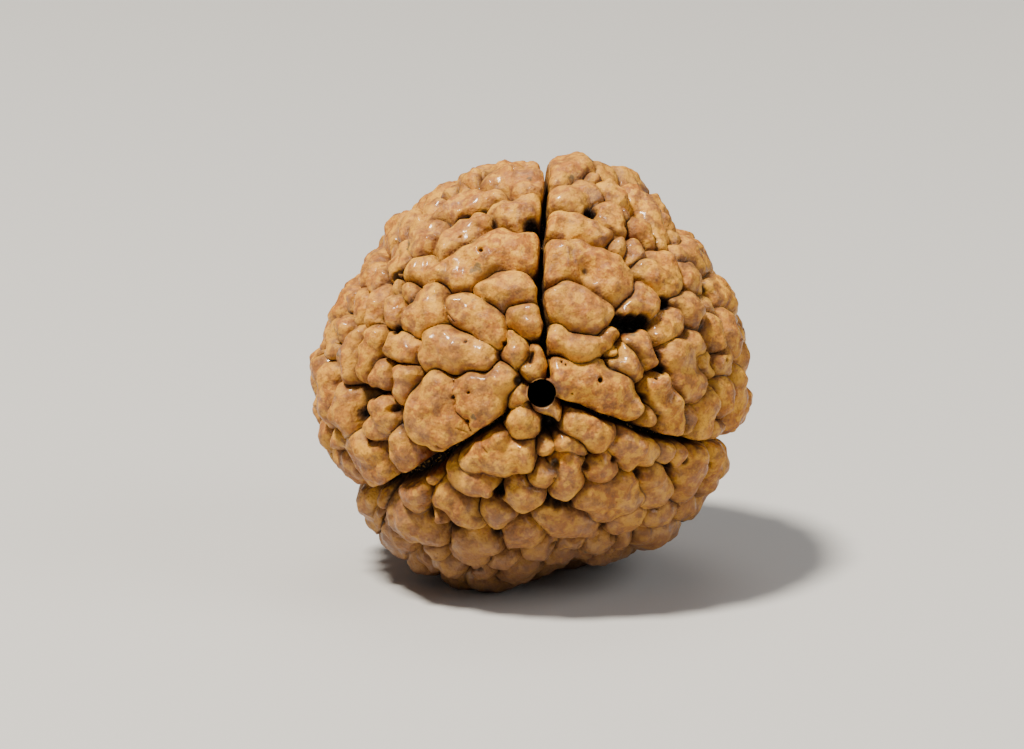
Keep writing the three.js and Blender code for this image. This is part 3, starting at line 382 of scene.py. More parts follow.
# turn round the bore's axis and angle away from it, in degrees
def roundBore(rays):
    turn = np.degrees(np.arctan2(rays @ boreTop, rays @ boreSide))
    away = np.degrees(np.arccos(np.clip(rays @ boreAxis, -1, 1)))
    return turn, away


# each cleft runs on from its path on the front view, round the back to the bore's far mouth
def makeClefts():
    made = []
    for path in seedShape["cleftPaths"]:
        corners = [fromFront(x, y) for x, y, half in path]
        halves = [half for x, y, half in path]
        lastTurn, lastAway = roundBore(corners[-1])
        away = lastAway + seedShape["backStep"]
        while away < 180 - seedShape["backGap"]:
            wander = seedShape["backWander"] * math.sin(away * seedShape["backWaves"] + lastTurn)
            wander *= smoothStep(lastAway, seedShape["backEase"], away)
            turn = math.radians(lastTurn + wander)
            lean = math.radians(away)
            sideways = boreSide * math.cos(turn) + boreTop * math.sin(turn)
            corners.append(boreAxis * math.cos(lean) + sideways * math.sin(lean))
            halves.append(seedShape["backHalf"])
            away += seedShape["backStep"]
        corners = np.array(corners)
        turns, aways = roundBore(corners)
        made.append({"corners": corners, "halves": halves, "aways": aways,
                     "turns": np.unwrap(turns, period=360)})
    return made


clefts = makeClefts()


# which of the three faces between the clefts a ray is on
def faceOf(rays):
    turn, away = roundBore(rays)
    gaps = [(turn - np.interp(away, cleft["aways"], cleft["turns"])) % 360 for cleft in clefts]
    return np.argmin(np.array(gaps), axis=0)


# distance in mm from the edge of a path of unit vectors, which has half a width at each
def pathGap(rays, corners, halves):
    best = np.full(len(rays), farAway)
    for i in range(1, len(corners)):
        start, step = corners[i - 1], corners[i] - corners[i - 1]
        near = np.flatnonzero(rays @ start > nearTo["path"])
        toRay = rays[near] - start
        along = np.clip(toRay @ step / (step @ step), 0, 1)
        gap = np.linalg.norm(toRay - along[:, None] * step, axis=1) * meanRadius
        half = halves[i - 1] + along * (halves[i] - halves[i - 1])
        best[near] = np.minimum(best[near], gap - half)
    return best


def cleftGap(rays):
    return np.min([pathGap(rays, cleft["corners"], cleft["halves"]) for cleft in clefts], axis=0)


# the hidden side and what the rows leave free are filled with lobes at random places
fillRule = {
    "start": 20417,
    "steps": ((1.25, 900), (0.95, 2000), (0.7, 4000)),      # room in mm, and how many tries
    "frontRoom": 0.85,          # least room on the front
    "frontCosine": 0.2,
    "overlap": 0.9,             # the part of a lobe's radius that no other's middle may enter
    "boreRoom": 1.1,
    "cleftShare": 0.9,
    "growth": 0.15,
    "swellings": 3,             # a lobe has fewer extra swellings than this
    "singleBelow": 0.7,         # and none where the room is no more than this
    "spacing": 1.15,
    "bend": 0.5,
    "cleftRoom": 0.8,
    "sizes": (0.9, 0.1),        # of the extra swellings: the first one's, and how they shrink
}


# repeatable random numbers, the same ones that laid out the part's hidden lobes
def makeDraw(state):
    factor = 16807
    limit = 2147483647
    while True:
        state = (state * factor) % limit
        yield state / limit


# the lobes that the lists give, each as the places and radii of its swellings
def listedLobes():
    made = []
    for row in seedShape["frontLobes"]:
        swellings = []
        for x, y, radius in row:
            seen = math.sqrt(max(seedShape["limbLimit"], 1 - (x * x + y * y) / meanRadius ** 2))
            stretch = 1 + seedShape["limbStretch"] * (1 / seen - 1)
            swellings.append((fromFront(x, y), radius * stretch))
        made.append(swellings)
    for x, y, radius in seedShape["footLobes"]:
        made.append([(unit(np.array((x, y, -seedShape["seatDepth"]))), radius)])
    return made


# one lobe with its extra swellings in a bent row, which end at a cleft
def growLobe(at, wanted, grow, heading):
    radius = wanted * (1 + fillRule["growth"] * grow)
    lobe = [(at, radius)]
    more = math.floor(fillRule["swellings"] * grow) if wanted > fillRule["singleBelow"] else 0
    side = unit(np.cross((0, 0, 1), at))
    over = np.cross(at, side)
    face = faceOf(at[None])[0]
    size, shrink = fillRule["sizes"]
    for j in range(1, more + 1):
        reach = radius * fillRule["spacing"] * j / meanRadius
        bend = heading + fillRule["bend"] * j
        beside = unit(at + reach * (side * math.cos(bend) + over * math.sin(bend)))
        if faceOf(beside[None])[0] != face or cleftGap(beside[None])[0] < fillRule["cleftRoom"]:
            break
        lobe.append((beside, radius * (size - shrink * j)))
    return lobe


def makeLobes():
    made = listedLobes()
    overlap = fillRule["overlap"]
    pits = [(fromFront(x, y), radius) for x, y, radius, depth in seedShape["pits"]]
    ats = [at for lobe in made for at, radius in lobe] + [at for at, radius in pits]
    sizes = [radius * overlap for lobe in made for at, radius in lobe]
    sizes += [radius for at, radius in pits]
    draw = makeDraw(fillRule["start"])
    for wanted, tries in fillRule["steps"]:
        for _ in range(tries):
            height = 2 * next(draw) - 1
            turn = 2 * math.pi * next(draw)
            grow = next(draw)
            heading = 2 * math.pi * next(draw)
            flat = math.sqrt(1 - height * height)
            at = np.array((flat * math.cos(turn), flat * math.sin(turn), height))
            room = np.min(np.linalg.norm(np.array(ats) - at, axis=1) * meanRadius - np.array(sizes))
            for mouth in (boreAxis, -boreAxis):
                room = min(room, np.linalg.norm(at - mouth) * meanRadius - fillRule["boreRoom"])
            onFront = at @ frontOut > fillRule["frontCosine"]
            needed = max(wanted, fillRule["frontRoom"]) if onFront else wanted
            if room < needed or cleftGap(at[None])[0] * fillRule["cleftShare"] < needed:
                continue
            lobe = growLobe(at, wanted, grow, heading)
            made.append(lobe)
            ats += [at for at, radius in lobe]
            sizes += [radius * overlap for at, radius in lobe]
    return made


lobes = makeLobes()
lobeFaces = [faceOf(lobe[0][0][None])[0] for lobe in lobes]
print("lobes laid out:", len(lobes))

# how the lobes stand out and how their creases fall, in mm unless another measure is given;
# waves are their length and the start of their random numbers
lobeForm = {
    "rise": 0.6,                # how far a lobe of 1 mm radius stands out
    "risePower": 0.6,           # the power of its radius that this grows with
    "riseFloor": -1,
    "domeReach": 1.35,          # where a lobe's dome would come down to nothing, in its radii
    "domePower": 2.0,           # higher is flatter on top
    "swellingBlend": 0.22,      # how softly a lobe's swellings flow together
    "riseBlend": 0.1,
    "surveyReach": 3.0,         # how far past its edge a lobe is measured
    "edgeWaves": ((1.6, 11), (1.6, 12), (1.6, 13)),
    "edgeWander": 0.12,
    "borderLimit": 2,
    "stepWidth": 0.15,          # from a high lobe down to a low one beside it
    "creaseDrop": 0.36,         # how far the rounded shoulder falls at a crease
    "shoulderWidth": 0.28,
    "slotDrop": 0.12,           # narrow slot at the bottom of a crease
    "slotWidth": 0.05,
    "firmWaves": (2.8, 14),     # a crease is faint in some places and firm in others
    "firmBand": (-1.0, 0.9),
    "firmness": (0.4, 0.9),     # the least of it, and how much the waves add
    "faintLoss": 0.7,
    "shoulderFirm": (0.75, 0.25),           # the part of a shoulder's width that is always there
    "slotFirm": (0.3, 0.7),                 # and that a firm crease adds; the same of a slot
    "bumps": ((0.08, 2.0, 15), (0.055, 1.0, 16), (0.022, 0.45, 17)),    # height, then waves
    "bumpEase": 0.4,
    "gapDrop": 0.45,            # how far the skin falls where no lobe reaches
    "gapBand": (0.05, 0.6),
    "pitWall": (0.5, 1.35),     # foot and top of a pit's wall, in its radii
    "pitStainAndShade": (0.8, 1.9),    # the dark ring round it, partly stain and partly painted shade, also in its radii
    "stainAndShadeDepth": (0.6, 0.8),  # a pit this deep has none yet, and one deeper by this has it all
}


# nearest lobe, gap to it and to the next, and how far each one stands out
def surveyLobes(rays):
    faces = faceOf(rays)
    gaps = np.full((2, len(rays)), farAway)
    rises = np.zeros((2, len(rays)))
    owner = np.full(len(rays), -1)
    blend, soft = lobeForm["swellingBlend"], lobeForm["riseBlend"]
    for number, lobe in enumerate(lobes):
        ats = np.array([at for at, radius in lobe])
        middle = unit(ats.mean(axis=0))
        reach = max(np.linalg.norm(at - middle) * meanRadius + radius for at, radius in lobe)
        reach += lobeForm["surveyReach"]
        near = np.flatnonzero(rays @ middle > 1 - (reach / meanRadius) ** 2 / 2)
        near = near[faces[near] == lobeFaces[number]]
        close = 0
        high = 0
        for at, radius in lobe:
            gap = np.linalg.norm(rays[near] - at, axis=1) * meanRadius
            close = close + np.exp(-(gap - radius) / blend)
            dome = 1 - (gap / (lobeForm["domeReach"] * radius)) ** lobeForm["domePower"]
            rise = lobeForm["rise"] * radius ** lobeForm["risePower"] * dome
            high = high + np.exp(np.maximum(rise, lobeForm["riseFloor"]) / soft)
        gap = -blend * np.log(close)
        rise = soft * np.log(high)
        first = gap < gaps[0, near]
        won = near[first]
        gaps[1, won], rises[1, won] = gaps[0, won], rises[0, won]
        gaps[0, won], rises[0, won] = gap[first], rise[first]
        owner[won] = number
        second = ~first & (gap < gaps[1, near])
        won = near[second]
        gaps[1, won], rises[1, won] = gap[second], rise[second]
    return owner, gaps, rises


# radius that the tops of the lobes reach
def envelope(rays):
    away = np.degrees(np.arccos(np.clip(rays @ frontOut, -1, 1)))
    angle = np.degrees(np.arctan2(rays @ frontUp, rays @ frontRight))
    edges = np.array(seedShape["outline"], float)
    edges = np.vstack((edges[-1] - (360, 0), edges, edges[0] + (360, 0)))
    place = np.clip(np.searchsorted(edges[:, 0], angle, side="right") - 1, 0, len(edges) - 2)
    low, high = edges[place], edges[place + 1]
    rim = low[:, 1] + (high[:, 1] - low[:, 1]) * smoothStep(low[:, 0], high[:, 0], angle)
    start, full, past, end = seedShape["outlineFade"]
    edge = smoothStep(start, full, away) * (1 - smoothStep(past, end, away))
    return meanRadius + (rim - meanRadius) * edge


# smooth random field of about -1 to 1, with waves of about the given length in mm
def ripple(rays, length, start):
    random = np.random.default_rng(start)
    waves = 14
    paces = (0.7, 1.4)
    fullTurn = 6.3
    total = np.zeros(len(rays))
    for _ in range(waves):
        way = unit(random.normal(size=3)) * 2 * math.pi * meanRadius / length
        way *= random.uniform(*paces)
        total += np.sin(rays @ way + random.uniform(0, fullTurn))
    return total / math.sqrt(waves)


def bendEdges(rays):
    shifts = [ripple(rays, length, start) for length, start in lobeForm["edgeWaves"]]
    return unit(rays + np.stack(shifts, axis=1) * lobeForm["edgeWander"] / meanRadius)


# half the way from the nearest lobe's edge to the next one's
def borderOf(gaps):
    return (gaps[1] - gaps[0]) / 2


def creaseBorder(rays):
    owner, gaps, rises = surveyLobes(bendEdges(rays))
    return borderOf(gaps)


# pinholes and cracks strewn over the sides and back, besides the listed ones
def strewMarks():
    random = np.random.default_rng(marks["strewnStart"])
    behind = marks["strewnBehind"]
    holes = [(fromFront(x, y), radius, depth) for x, y, radius, depth in marks["pinholes"]]
    for _ in range(marks["strewnHoles"]):
        radius = random.uniform(*marks["holeSizes"])
        at = unit(random.normal(size=3))
        if at @ frontOut < behind:
            holes.append((at, radius, radius * random.uniform(*marks["holeDepths"])))
    cracks = [(half, depth, np.array([fromFront(x, y) for x, y in path]))
              for half, depth, path in marks["cracks"]]
    for _ in range(marks["strewnCracks"]):
        at = unit(random.normal(size=3))
        heading = unit(np.cross(at, random.normal(size=3)))
        corners = [at]
        for _ in range(random.integers(*marks["crackCorners"])):
            heading = unit(heading + marks["crackBend"] * np.cross(at, heading) * random.normal())
            step = random.uniform(*marks["crackSteps"]) / meanRadius
            corners.append(unit(corners[-1] + heading * step))
        if at @ frontOut < behind:
            half = random.uniform(*marks["crackHalves"])
            cracks.append((half, random.uniform(*marks["crackDepths"]), np.array(corners)))
    return holes, cracks


holes, cracks = strewMarks()


# soft spots at the listed places and at some strewn ones, 1 in the middle of each
def spots(rays, places, strewn, start):
    random = np.random.default_rng(start)
    ats = [(fromFront(x, y), radius) for x, y, radius in places]
    ats += [(unit(random.normal(size=3)), random.uniform(*marks["stainSizes"])) for _ in range(strewn)]
    total = np.zeros(len(rays))
    for at, radius in ats:
        gap = np.linalg.norm(rays - at, axis=1) * meanRadius / radius
        total = np.maximum(total, np.exp(-gap ** 2))
    return total


# how firm the creases are: waves, and less at the faint places
def creaseFirmness(rays):
    least, more = lobeForm["firmness"]
    firm = least + more * smoothStep(*lobeForm["firmBand"], ripple(rays, *lobeForm["firmWaves"]))
    return firm * (1 - lobeForm["faintLoss"] * spots(rays, marks["faint"], 0, marks["faintStart"]))


# depth below the envelope from the lobes, their creases and the gaps between them
def lobeDepth(rays, gaps, rises, border, firm):
    step = np.exp(-border / lobeForm["stepWidth"])
    top = rises[0] - (rises[0] - rises.min(axis=0)) * step
    always, added = lobeForm["shoulderFirm"]
    inward = 1 - np.minimum(1, border / (lobeForm["shoulderWidth"] * (always + added * firm)))
    depth = lobeForm["rise"] - top + lobeForm["creaseDrop"] * firm * (1 - np.sqrt(1 - inward ** 2))
    always, added = lobeForm["slotFirm"]
    slot = lobeForm["slotDrop"] * (always + added * firm)
    depth += slot * (1 - smoothStep(0, lobeForm["slotWidth"], border))
    bumps = sum(height * ripple(rays, length, start) for height, length, start in lobeForm["bumps"])
    depth += bumps * smoothStep(0, lobeForm["bumpEase"], border)
    depth += lobeForm["gapDrop"] * smoothStep(*lobeForm["gapBand"], gaps[0])
    return depth


# sinks the pits into the depth, and tells how dark the ring round each is painted, partly stain and partly
# painted shade
def sinkPits(rays, depth):
    stainAndShade = np.zeros(len(rays))
    foot, top = lobeForm["pitWall"]
    inner, outer = lobeForm["pitStainAndShade"]
    none, deeper = lobeForm["stainAndShadeDepth"]
    for x, y, radius, floor in seedShape["pits"]:
        at = fromFront(x, y)
        near = np.flatnonzero(rays @ at > nearTo["pit"])
        gap = np.linalg.norm(rays[near] - at, axis=1) * meanRadius
        inPit = 1 - smoothStep(radius * foot, radius * top, gap)
        depth[near] += np.maximum(floor - depth[near], 0) * inPit
        around = 1 - smoothStep(radius * inner, radius * outer, gap)
        stainAndShade[near] = np.maximum(stainAndShade[near], around * np.clip((floor - none) / deeper, 0, 1))
    return stainAndShade


# depth of the pinholes and cracks
def nickDepth(rays):
    nick = np.zeros(len(rays))
    for at, radius, drop in holes:
        near = np.flatnonzero(rays @ at > nearTo["hole"])
        gap = np.linalg.norm(rays[near] - at, axis=1) * meanRadius / radius
        nick[near] = np.maximum(nick[near], drop * np.exp(-gap ** 2))
    for half, drop, corners in cracks:
        near = np.flatnonzero(rays @ corners[0] > nearTo["crack"])
        gap = pathGap(rays[near], corners, np.zeros(len(corners))) / half
        nick[near] = np.maximum(nick[near], drop * np.exp(-gap ** 2))
    return nick


# depth below the envelope and what the finish needs to know, all in mm
def relief(rays):
    owner, gaps, rises = surveyLobes(bendEdges(rays))
    firm = creaseFirmness(rays)
    border = np.minimum(borderOf(gaps), lobeForm["borderLimit"])
    depth = lobeDepth(rays, gaps, rises, border, firm)
    wander = seedShape["cleftWander"] * ripple(rays, *seedShape["cleftWaves"])
    cleft = cleftGap(rays) + seedShape["cleftPinch"] + wander
    beside = 1 - np.clip(cleft / seedShape["cleftShoulder"], 0, 1)
    depth += seedShape["cleftShoulderDrop"] * (1 - np.sqrt(1 - beside ** 2))
    pit = sinkPits(rays, depth)
    inCleft = 1 - smoothStep(*seedShape["cleftWall"], cleft)
    floor = seedShape["cleftDepth"] + seedShape["floorBumps"] * ripple(rays, *seedShape["floorWaves"])
    depth += np.maximum(floor - depth, 0) * inCleft
    nick = nickDepth(rays)
    depth += nick
    mouth = np.minimum(np.linalg.norm(rays - boreAxis, axis=1), np.linalg.norm(rays + boreAxis, axis=1))
    mouth = mouth * meanRadius
    boreRadius = seedShape["boreRadius"]
    atBore = 1 - smoothStep(boreRadius, boreRadius + seedShape["boreEase"], mouth)
    depth += (seedShape["boreRimDrop"] - depth) * atBore
    return {"hollow": depth, "border": border, "cleft": cleft, "owner": owner, "mouth": mouth,
            "nick": nick, "firm": firm, "pit": pit}


# slides the rays that lie beside a crease on to it, so that creases run clean
def ontoCreases(rays, reach):
    border = creaseBorder(rays)
    near = np.flatnonzero(border < reach)
    anyWay = (0.3, 0.5, 0.8)
    side = unit(np.cross(anyWay, rays[near]))
    over = np.cross(rays[near], side)
    step = 0.01
    leastSteep = 0.3
    slopes = []
    for way in (side, over):
        beside = unit(rays[near] + way * step / meanRadius)
        slopes.append((creaseBorder(beside) - border[near]) / step)
    steep = np.maximum(slopes[0] ** 2 + slopes[1] ** 2, leastSteep)
    shift = side * slopes[0][:, None] + over * slopes[1][:, None]
    rays[near] = unit(rays[near] - shift * (border[near] / steep)[:, None] / meanRadius)
    return rays


def readPoints(mesh):
    places = np.zeros(len(mesh.vertices) * 3)
    mesh.vertices.foreach_get("co", places)
    return places.reshape(-1, 3)


# puts every point of the mesh on the seed's surface, along the ray that it is on
def ontoSurface(mesh, rays):
    found = relief(rays)
    radius = envelope(rays) - found["hollow"]
    down = rays[:, 2] < 0
    radius[down] = np.minimum(radius[down], seedShape["seatDepth"] / -rays[down, 2])
    points = rays * radius[:, None] + (0, 0, seedShape["seatDepth"])
    mesh.vertices.foreach_set("co", (points * mm).ravel())
    mesh.update()


def raysOf(mesh):
    return unit(readPoints(mesh) / mm - (0, 0, seedShape["seatDepth"]))


def applyModifier(piece, kind, name, **settings):
    modifier = piece.modifiers.new(name, kind)
    for setting, value in settings.items():
        setattr(modifier, setting, value)
    bpy.ops.object.select_all(action="DESELECT")
    piece.select_set(True)
    bpy.context.view_layer.objects.active = piece
    bpy.ops.object.modifier_apply(modifier=name)


def makeSeed():
    bpy.ops.object.select_all(action="DESELECT")
    bpy.ops.mesh.primitive_cube_add(size=2)
    seed = bpy.context.object
    seed.name = "seedShell"
    bpy.ops.object.mode_set(mode="EDIT")
    bpy.ops.mesh.select_all(action="SELECT")
    for cells in seedShape["cellsAlong"]:
        bpy.ops.mesh.subdivide(number_cuts=cells - 1)
    bpy.ops.object.mode_set(mode="OBJECT")
    print("cube points:", len(seed.data.vertices))
    rays = unit(np.tan(readPoints(seed.data) * math.pi / 4))
    firstPull, lastPull = seedShape["creasePull"]
    ontoSurface(seed.data, ontoCreases(rays, firstPull))
    print("lobes raised")
    ratio = seedShape["triangles"] / (2 * len(seed.data.polygons))
    applyModifier(seed, "DECIMATE", "thin", ratio=ratio, use_collapse_triangulate=True)
    print("thinned to", len(seed.data.polygons), "triangles")
    ontoSurface(seed.data, ontoCreases(raysOf(seed.data), lastPull))
    return seed


seed = makeSeed()


# the drill's rings lie close together where its wall shows, near both mouths
boreDrill = {
    "sides": 48,
    "start": -13.6,             # along the bore from the seed's middle, in mm
    "steps": (1.4,) + (0.15,) * 12 + (1.0, 3.0) + (4.0,) * 3 + (3.0, 1.0) + (0.15,) * 12 + (1.4,),
    "wallSkin": 0.03,           # points this near to the bore's radius are on its wall
}


# the bore goes straight through the seed's middle
def drillBore(seed):
    bpy.ops.object.select_all(action="DESELECT")
    bpy.ops.mesh.primitive_circle_add(vertices=boreDrill["sides"], radius=seedShape["boreRadius"] * mm,
                                      fill_type="NGON", location=(0, 0, boreDrill["start"] * mm))
    drill = bpy.context.object
    bpy.ops.object.transform_apply(location=True, rotation=False, scale=False)
    bpy.ops.object.mode_set(mode="EDIT")
    bpy.ops.mesh.select_all(action="SELECT")
    for step in boreDrill["steps"]:
        bpy.ops.mesh.extrude_region_move(TRANSFORM_OT_translate={"value": (0, 0, step * mm)})
    bpy.ops.mesh.select_all(action="SELECT")
    bpy.ops.mesh.normals_make_consistent(inside=False)
    bpy.ops.object.mode_set(mode="OBJECT")
    turn = Vector((0, 0, 1)).rotation_difference(Vector(boreAxis)).to_matrix().to_4x4()
    drill.data.transform(Matrix.Translation((0, 0, seedShape["seatDepth"] * mm)) @ turn)
    applyModifier(seed, "BOOLEAN", "bore", object=drill, operation="DIFFERENCE", solver="MANIFOLD")
    bpy.data.objects.remove(drill)


# drops the slivers that the drill cut loose
def keepLargest(seed):
    bpy.ops.object.select_all(action="DESELECT")
    seed.select_set(True)
    bpy.context.view_layer.objects.active = seed
    bpy.ops.mesh.separate(type="LOOSE")
    bits = sorted(bpy.context.selected_objects, key=lambda bit: len(bit.data.vertices))
    for bit in bits[:-1]:
        bpy.data.objects.remove(bit)
    bits[-1].name = "seedShell"
    return bits[-1]


drillBore(seed)
seed = keepLargest(seed)
print("bore drilled:", len(seed.data.polygons), "faces")


def addAttribute(mesh, name, values):
    layer = mesh.attributes.new(name, "FLOAT", "POINT")
    layer.data.foreach_set("value", np.asarray(values, np.float32))


# what the finish follows: creases, pits, stains and the bore's wall
def markSurface(seed):
    mesh = seed.data
    rays = raysOf(mesh)
    found = relief(rays)
    places = readPoints(mesh) / mm - (0, 0, seedShape["seatDepth"])
    below = envelope(rays) - found["hollow"] - np.linalg.norm(places, axis=1)
    fromAxis = np.linalg.norm(places - np.outer(places @ boreAxis, boreAxis), axis=1)
    onWall = fromAxis < seedShape["boreRadius"] + boreDrill["wallSkin"]
    for name in ("border", "firm", "hollow", "cleft", "mouth", "nick", "pit"):
        addAttribute(mesh, name, found[name])
    addAttribute(mesh, "inside", np.where(onWall, np.maximum(below, 0), 0))
    addAttribute(mesh, "rust", spots(rays, marks["rust"], marks["strewnRust"], marks["rustStart"]))
    addAttribute(mesh, "slate", spots(rays, marks["slate"], marks["strewnSlate"], marks["slateStart"]))
    tones = np.random.default_rng(marks["toneStart"]).random(len(lobes) + 1)
    addAttribute(mesh, "tone", tones[found["owner"]])
    bpy.ops.object.shade_smooth()


markSurface(seed)
print("surface marked")


# a socket of the material that is being made, which Python's own maths works on
class Wire:
    def __init__(self, finish, socket):
        self.finish = finish
        self.socket = socket

    def maths(self, operation, first, second):
        return self.finish.node("ShaderNodeMath", {"operation": operation}, {0: first, 1: second})

    def __add__(self, other):
        return self.maths("ADD", self, other)

    def __radd__(self, other):
        return self.maths("ADD", other, self)

    def __sub__(self, other):
        return self.maths("SUBTRACT", self, other)

    def __rsub__(self, other):
        return self.maths("SUBTRACT", other, self)

    def __mul__(self, other):
        return self.maths("MULTIPLY", self, other)

    def __rmul__(self, other):
        return self.maths("MULTIPLY", other, self)



class Finish:
    def __init__(self, name):
        self.material = bpy.data.materials.new(name)
        self.material.use_nodes = True
        self.tree = self.material.node_tree
        self.shader = self.tree.nodes["Principled BSDF"]

    # one node: its type, its settings, then the values or wires of its sockets
    def node(self, kind, settings, sockets, output=0):
        made = self.tree.nodes.new(kind)
        for name, value in settings.items():
            setattr(made, name, value)
        for name, value in sockets.items():
            self.plug(made.inputs[name], value)
        return Wire(self, made.outputs[output])

    def plug(self, socket, value):
        if isinstance(value, Wire):
            self.tree.links.new(value.socket, socket)
        else:
            socket.default_value = value

    def set(self, name, value):
        self.plug(self.shader.inputs[name], value)

    # the piece's own coordinates, counted in mm
    def places(self):
        found = self.node("ShaderNodeTexCoord", {}, {}, "Object")
        return self.node("ShaderNodeVectorMath", {"operation": "SCALE"}, {0: found, "Scale": 1 / mm})

    def attribute(self, name):
        return self.node("ShaderNodeAttribute", {"attribute_name": name}, {}, "Fac")

    # noise of about 0 to 1 with lumps of the given size in mm
    def noise(self, places, size, detail, shift):
        moved = self.node("ShaderNodeVectorMath", {"operation": "ADD"}, {0: places, 1: shift})
        return self.node("ShaderNodeTexNoise", {}, {"Vector": moved, "Scale": 1 / size, "Detail": detail})

    # 0 below low, 1 above high, and smooth between them
    def rise(self, value, low, high):
        sockets = {"Value": value, "From Min": low, "From Max": high}
        return self.node("ShaderNodeMapRange", {"interpolation_type": "SMOOTHSTEP"}, sockets)

    # colours go through Mix: its sockets 6 and 7 are the two colours, and output 2 is theirs
    def mix(self, factor, first, second):
        return self.node("ShaderNodeMix", {"data_type": "RGBA"}, {0: factor, 6: first, 7: second}, 2)


# a colour as it looks on a screen, 0 to 255, turned into the light that a shader works with
def screenColour(red, green, blue):
    return tuple((part / 255) ** 2.2 for part in (red, green, blue)) + (1,)


skinColours = {
    "ochre": screenColour(188, 123, 50),
    "honey": screenColour(222, 160, 54),
    "rose": screenColour(148, 100, 64),
    # painted shade for the seed's lower part
    "paintedLowShade": screenColour(118, 88, 68),
    "amber": screenColour(160, 95, 44),
    "rind": screenColour(106, 72, 50),
    "umber": screenColour(62, 44, 32),
    # painted shade for the floors of pits, clefts and the bore
    "paintedHoleShade": screenColour(24, 16, 12),
    "rust": screenColour(92, 32, 8),
    "slate": screenColour(70, 68, 60),
    "wood": screenColour(170, 128, 66),
}

# the noises that the colours follow: lump size in mm, detail, and a shift that sets it apart
skinNoises = {
    "broad": (1.9, 3, (0, 0, 0)),
    "pink": (1.4, 4, (31, 7, 3)),
    "mottle": (0.5, 4, (5, 13, 40)),
    "patch": (0.85, 3, (22, 6, 14)),
    "grain": (0.13, 3, (17, 2, 9)),
    "speck": (0.09, 1, (3, 50, 21)),
    "paintedGlint": (0.14, 1, (8, 8, 31)),
}

# each shade: the value where it starts and where it is full, how much of it is laid on and its
# colour, then the noise that breaks up its edge and how far that moves the value
skinShades = {
    "honey": (0.4, 0.6, 1, "honey"),
    "crown": (0.3, 0.85, 0.6, "amber", "mottle", 0.7),
    "pink": (0.52, 0.66, 0.65, "rose"),
    "patch": (0.46, 0.6, 0.7, "amber"),
    "pale": (0.5, 0.62, 0.75, "honey"),
    "brown": (0.48, 0.35, 0.6, "rind"),
    "darkGrain": (0.46, 0.34, 0.35, "rind"),
    "paleGrain": (0.54, 0.66, 0.3, "honey"),
    "paintedLowShade": (10, 1, 0.8, "paintedLowShade", "broad", 4),
    "edge": (0.4, 0.12, 0.15, "honey"),
    "paintedCreaseShade": (0.5, 0.0, 0.7, "rind", "mottle", 0.4),
    "paintedCreaseLine": (0.07, 0.01, 1, "umber", "grain", 0.05),
    "hollow": (0.95, 1.35, 0.8, "umber", "mottle", 0.5),
    "lip": (0.2, 0.03, 0.7, "umber", "mottle", 0.5),
    "nick": (0.06, 0.22, 0.9, "umber"),
    "rust": (0.25, 0.75, 0.8, "rust", "mottle", 1.2),
    "slate": (0.45, 0.75, 0.75, "slate", "mottle", 1.6),
    "speck": (0.74, 0.8, 0.7, "umber"),
    "pitWall": (0.1, 0.5, 0.85, "umber", "mottle", 0.6),
    "pitFloor": (0.45, 0.8, 1, "paintedHoleShade", "mottle", 0.5),
    "cleftFloor": (0.07, -0.02, 1, "paintedHoleShade"),
    "paintedCleftGlint": (0.58, 0.68, 0.6, "wood"),
    "paintedPitGlint": (0.58, 0.68, 0.5, "slate"),
    "ring": (1.3, 0.85, 0.75, "rind", "mottle", 0.7),
    "cutWood": (0.84, 0.78, 0.3, "wood", "grain", 0.25),
    "boreWall": (0.02, 0.25, 1, "paintedHoleShade", "grain", 0.3),
}

# where each mask that holds a shade back starts and where it is full
skinMasks = {
    "edgeMottle": (0.36, 0.56),
    "shadeFirm": (0.15, 0.9),
    "lineFirm": (0.5, 0.9),
    "stainHollow": (0.35, 0.9),
    "pitSunk": (0.4, 0.8),
    "pitDeep": (0.5, 0.95),
    "cleftDeep": (0.0, -0.06),
    "woodTop": (0.3, 0.1),
    "woodMottle": (0.45, 0.55),
    "matt": (0.9, 1.5),
    "hole": (0.3, 0.7),
    "coat": (0.43, 0.6),
}

skinFinish = {
    "tone": 0.25,               # how much the lobes differ from one another
    "paintedCreaseLine": (0.45, 0.5),        # strength of a faint crease's line, and what a firm one adds
    "rustHollow": (0.3, 0.7),   # the same for a stain on a lobe's top and down in a crease
    "slate": 0.8,
    "roughness": 0.52,
    "roughnessSwing": 0.3,
    "deepRoughness": 0.25,
    "gloss": 0.14,
    "coat": 0.38,
    "coatGrain": 0.3,
    "coatRoughness": 0.14,
    "bumpSizes": ((0.6, 0.16), (0.24, 0.07), (0.08, 0.018)),       # lump size and height in mm
    "speckDrop": 0.02,
}


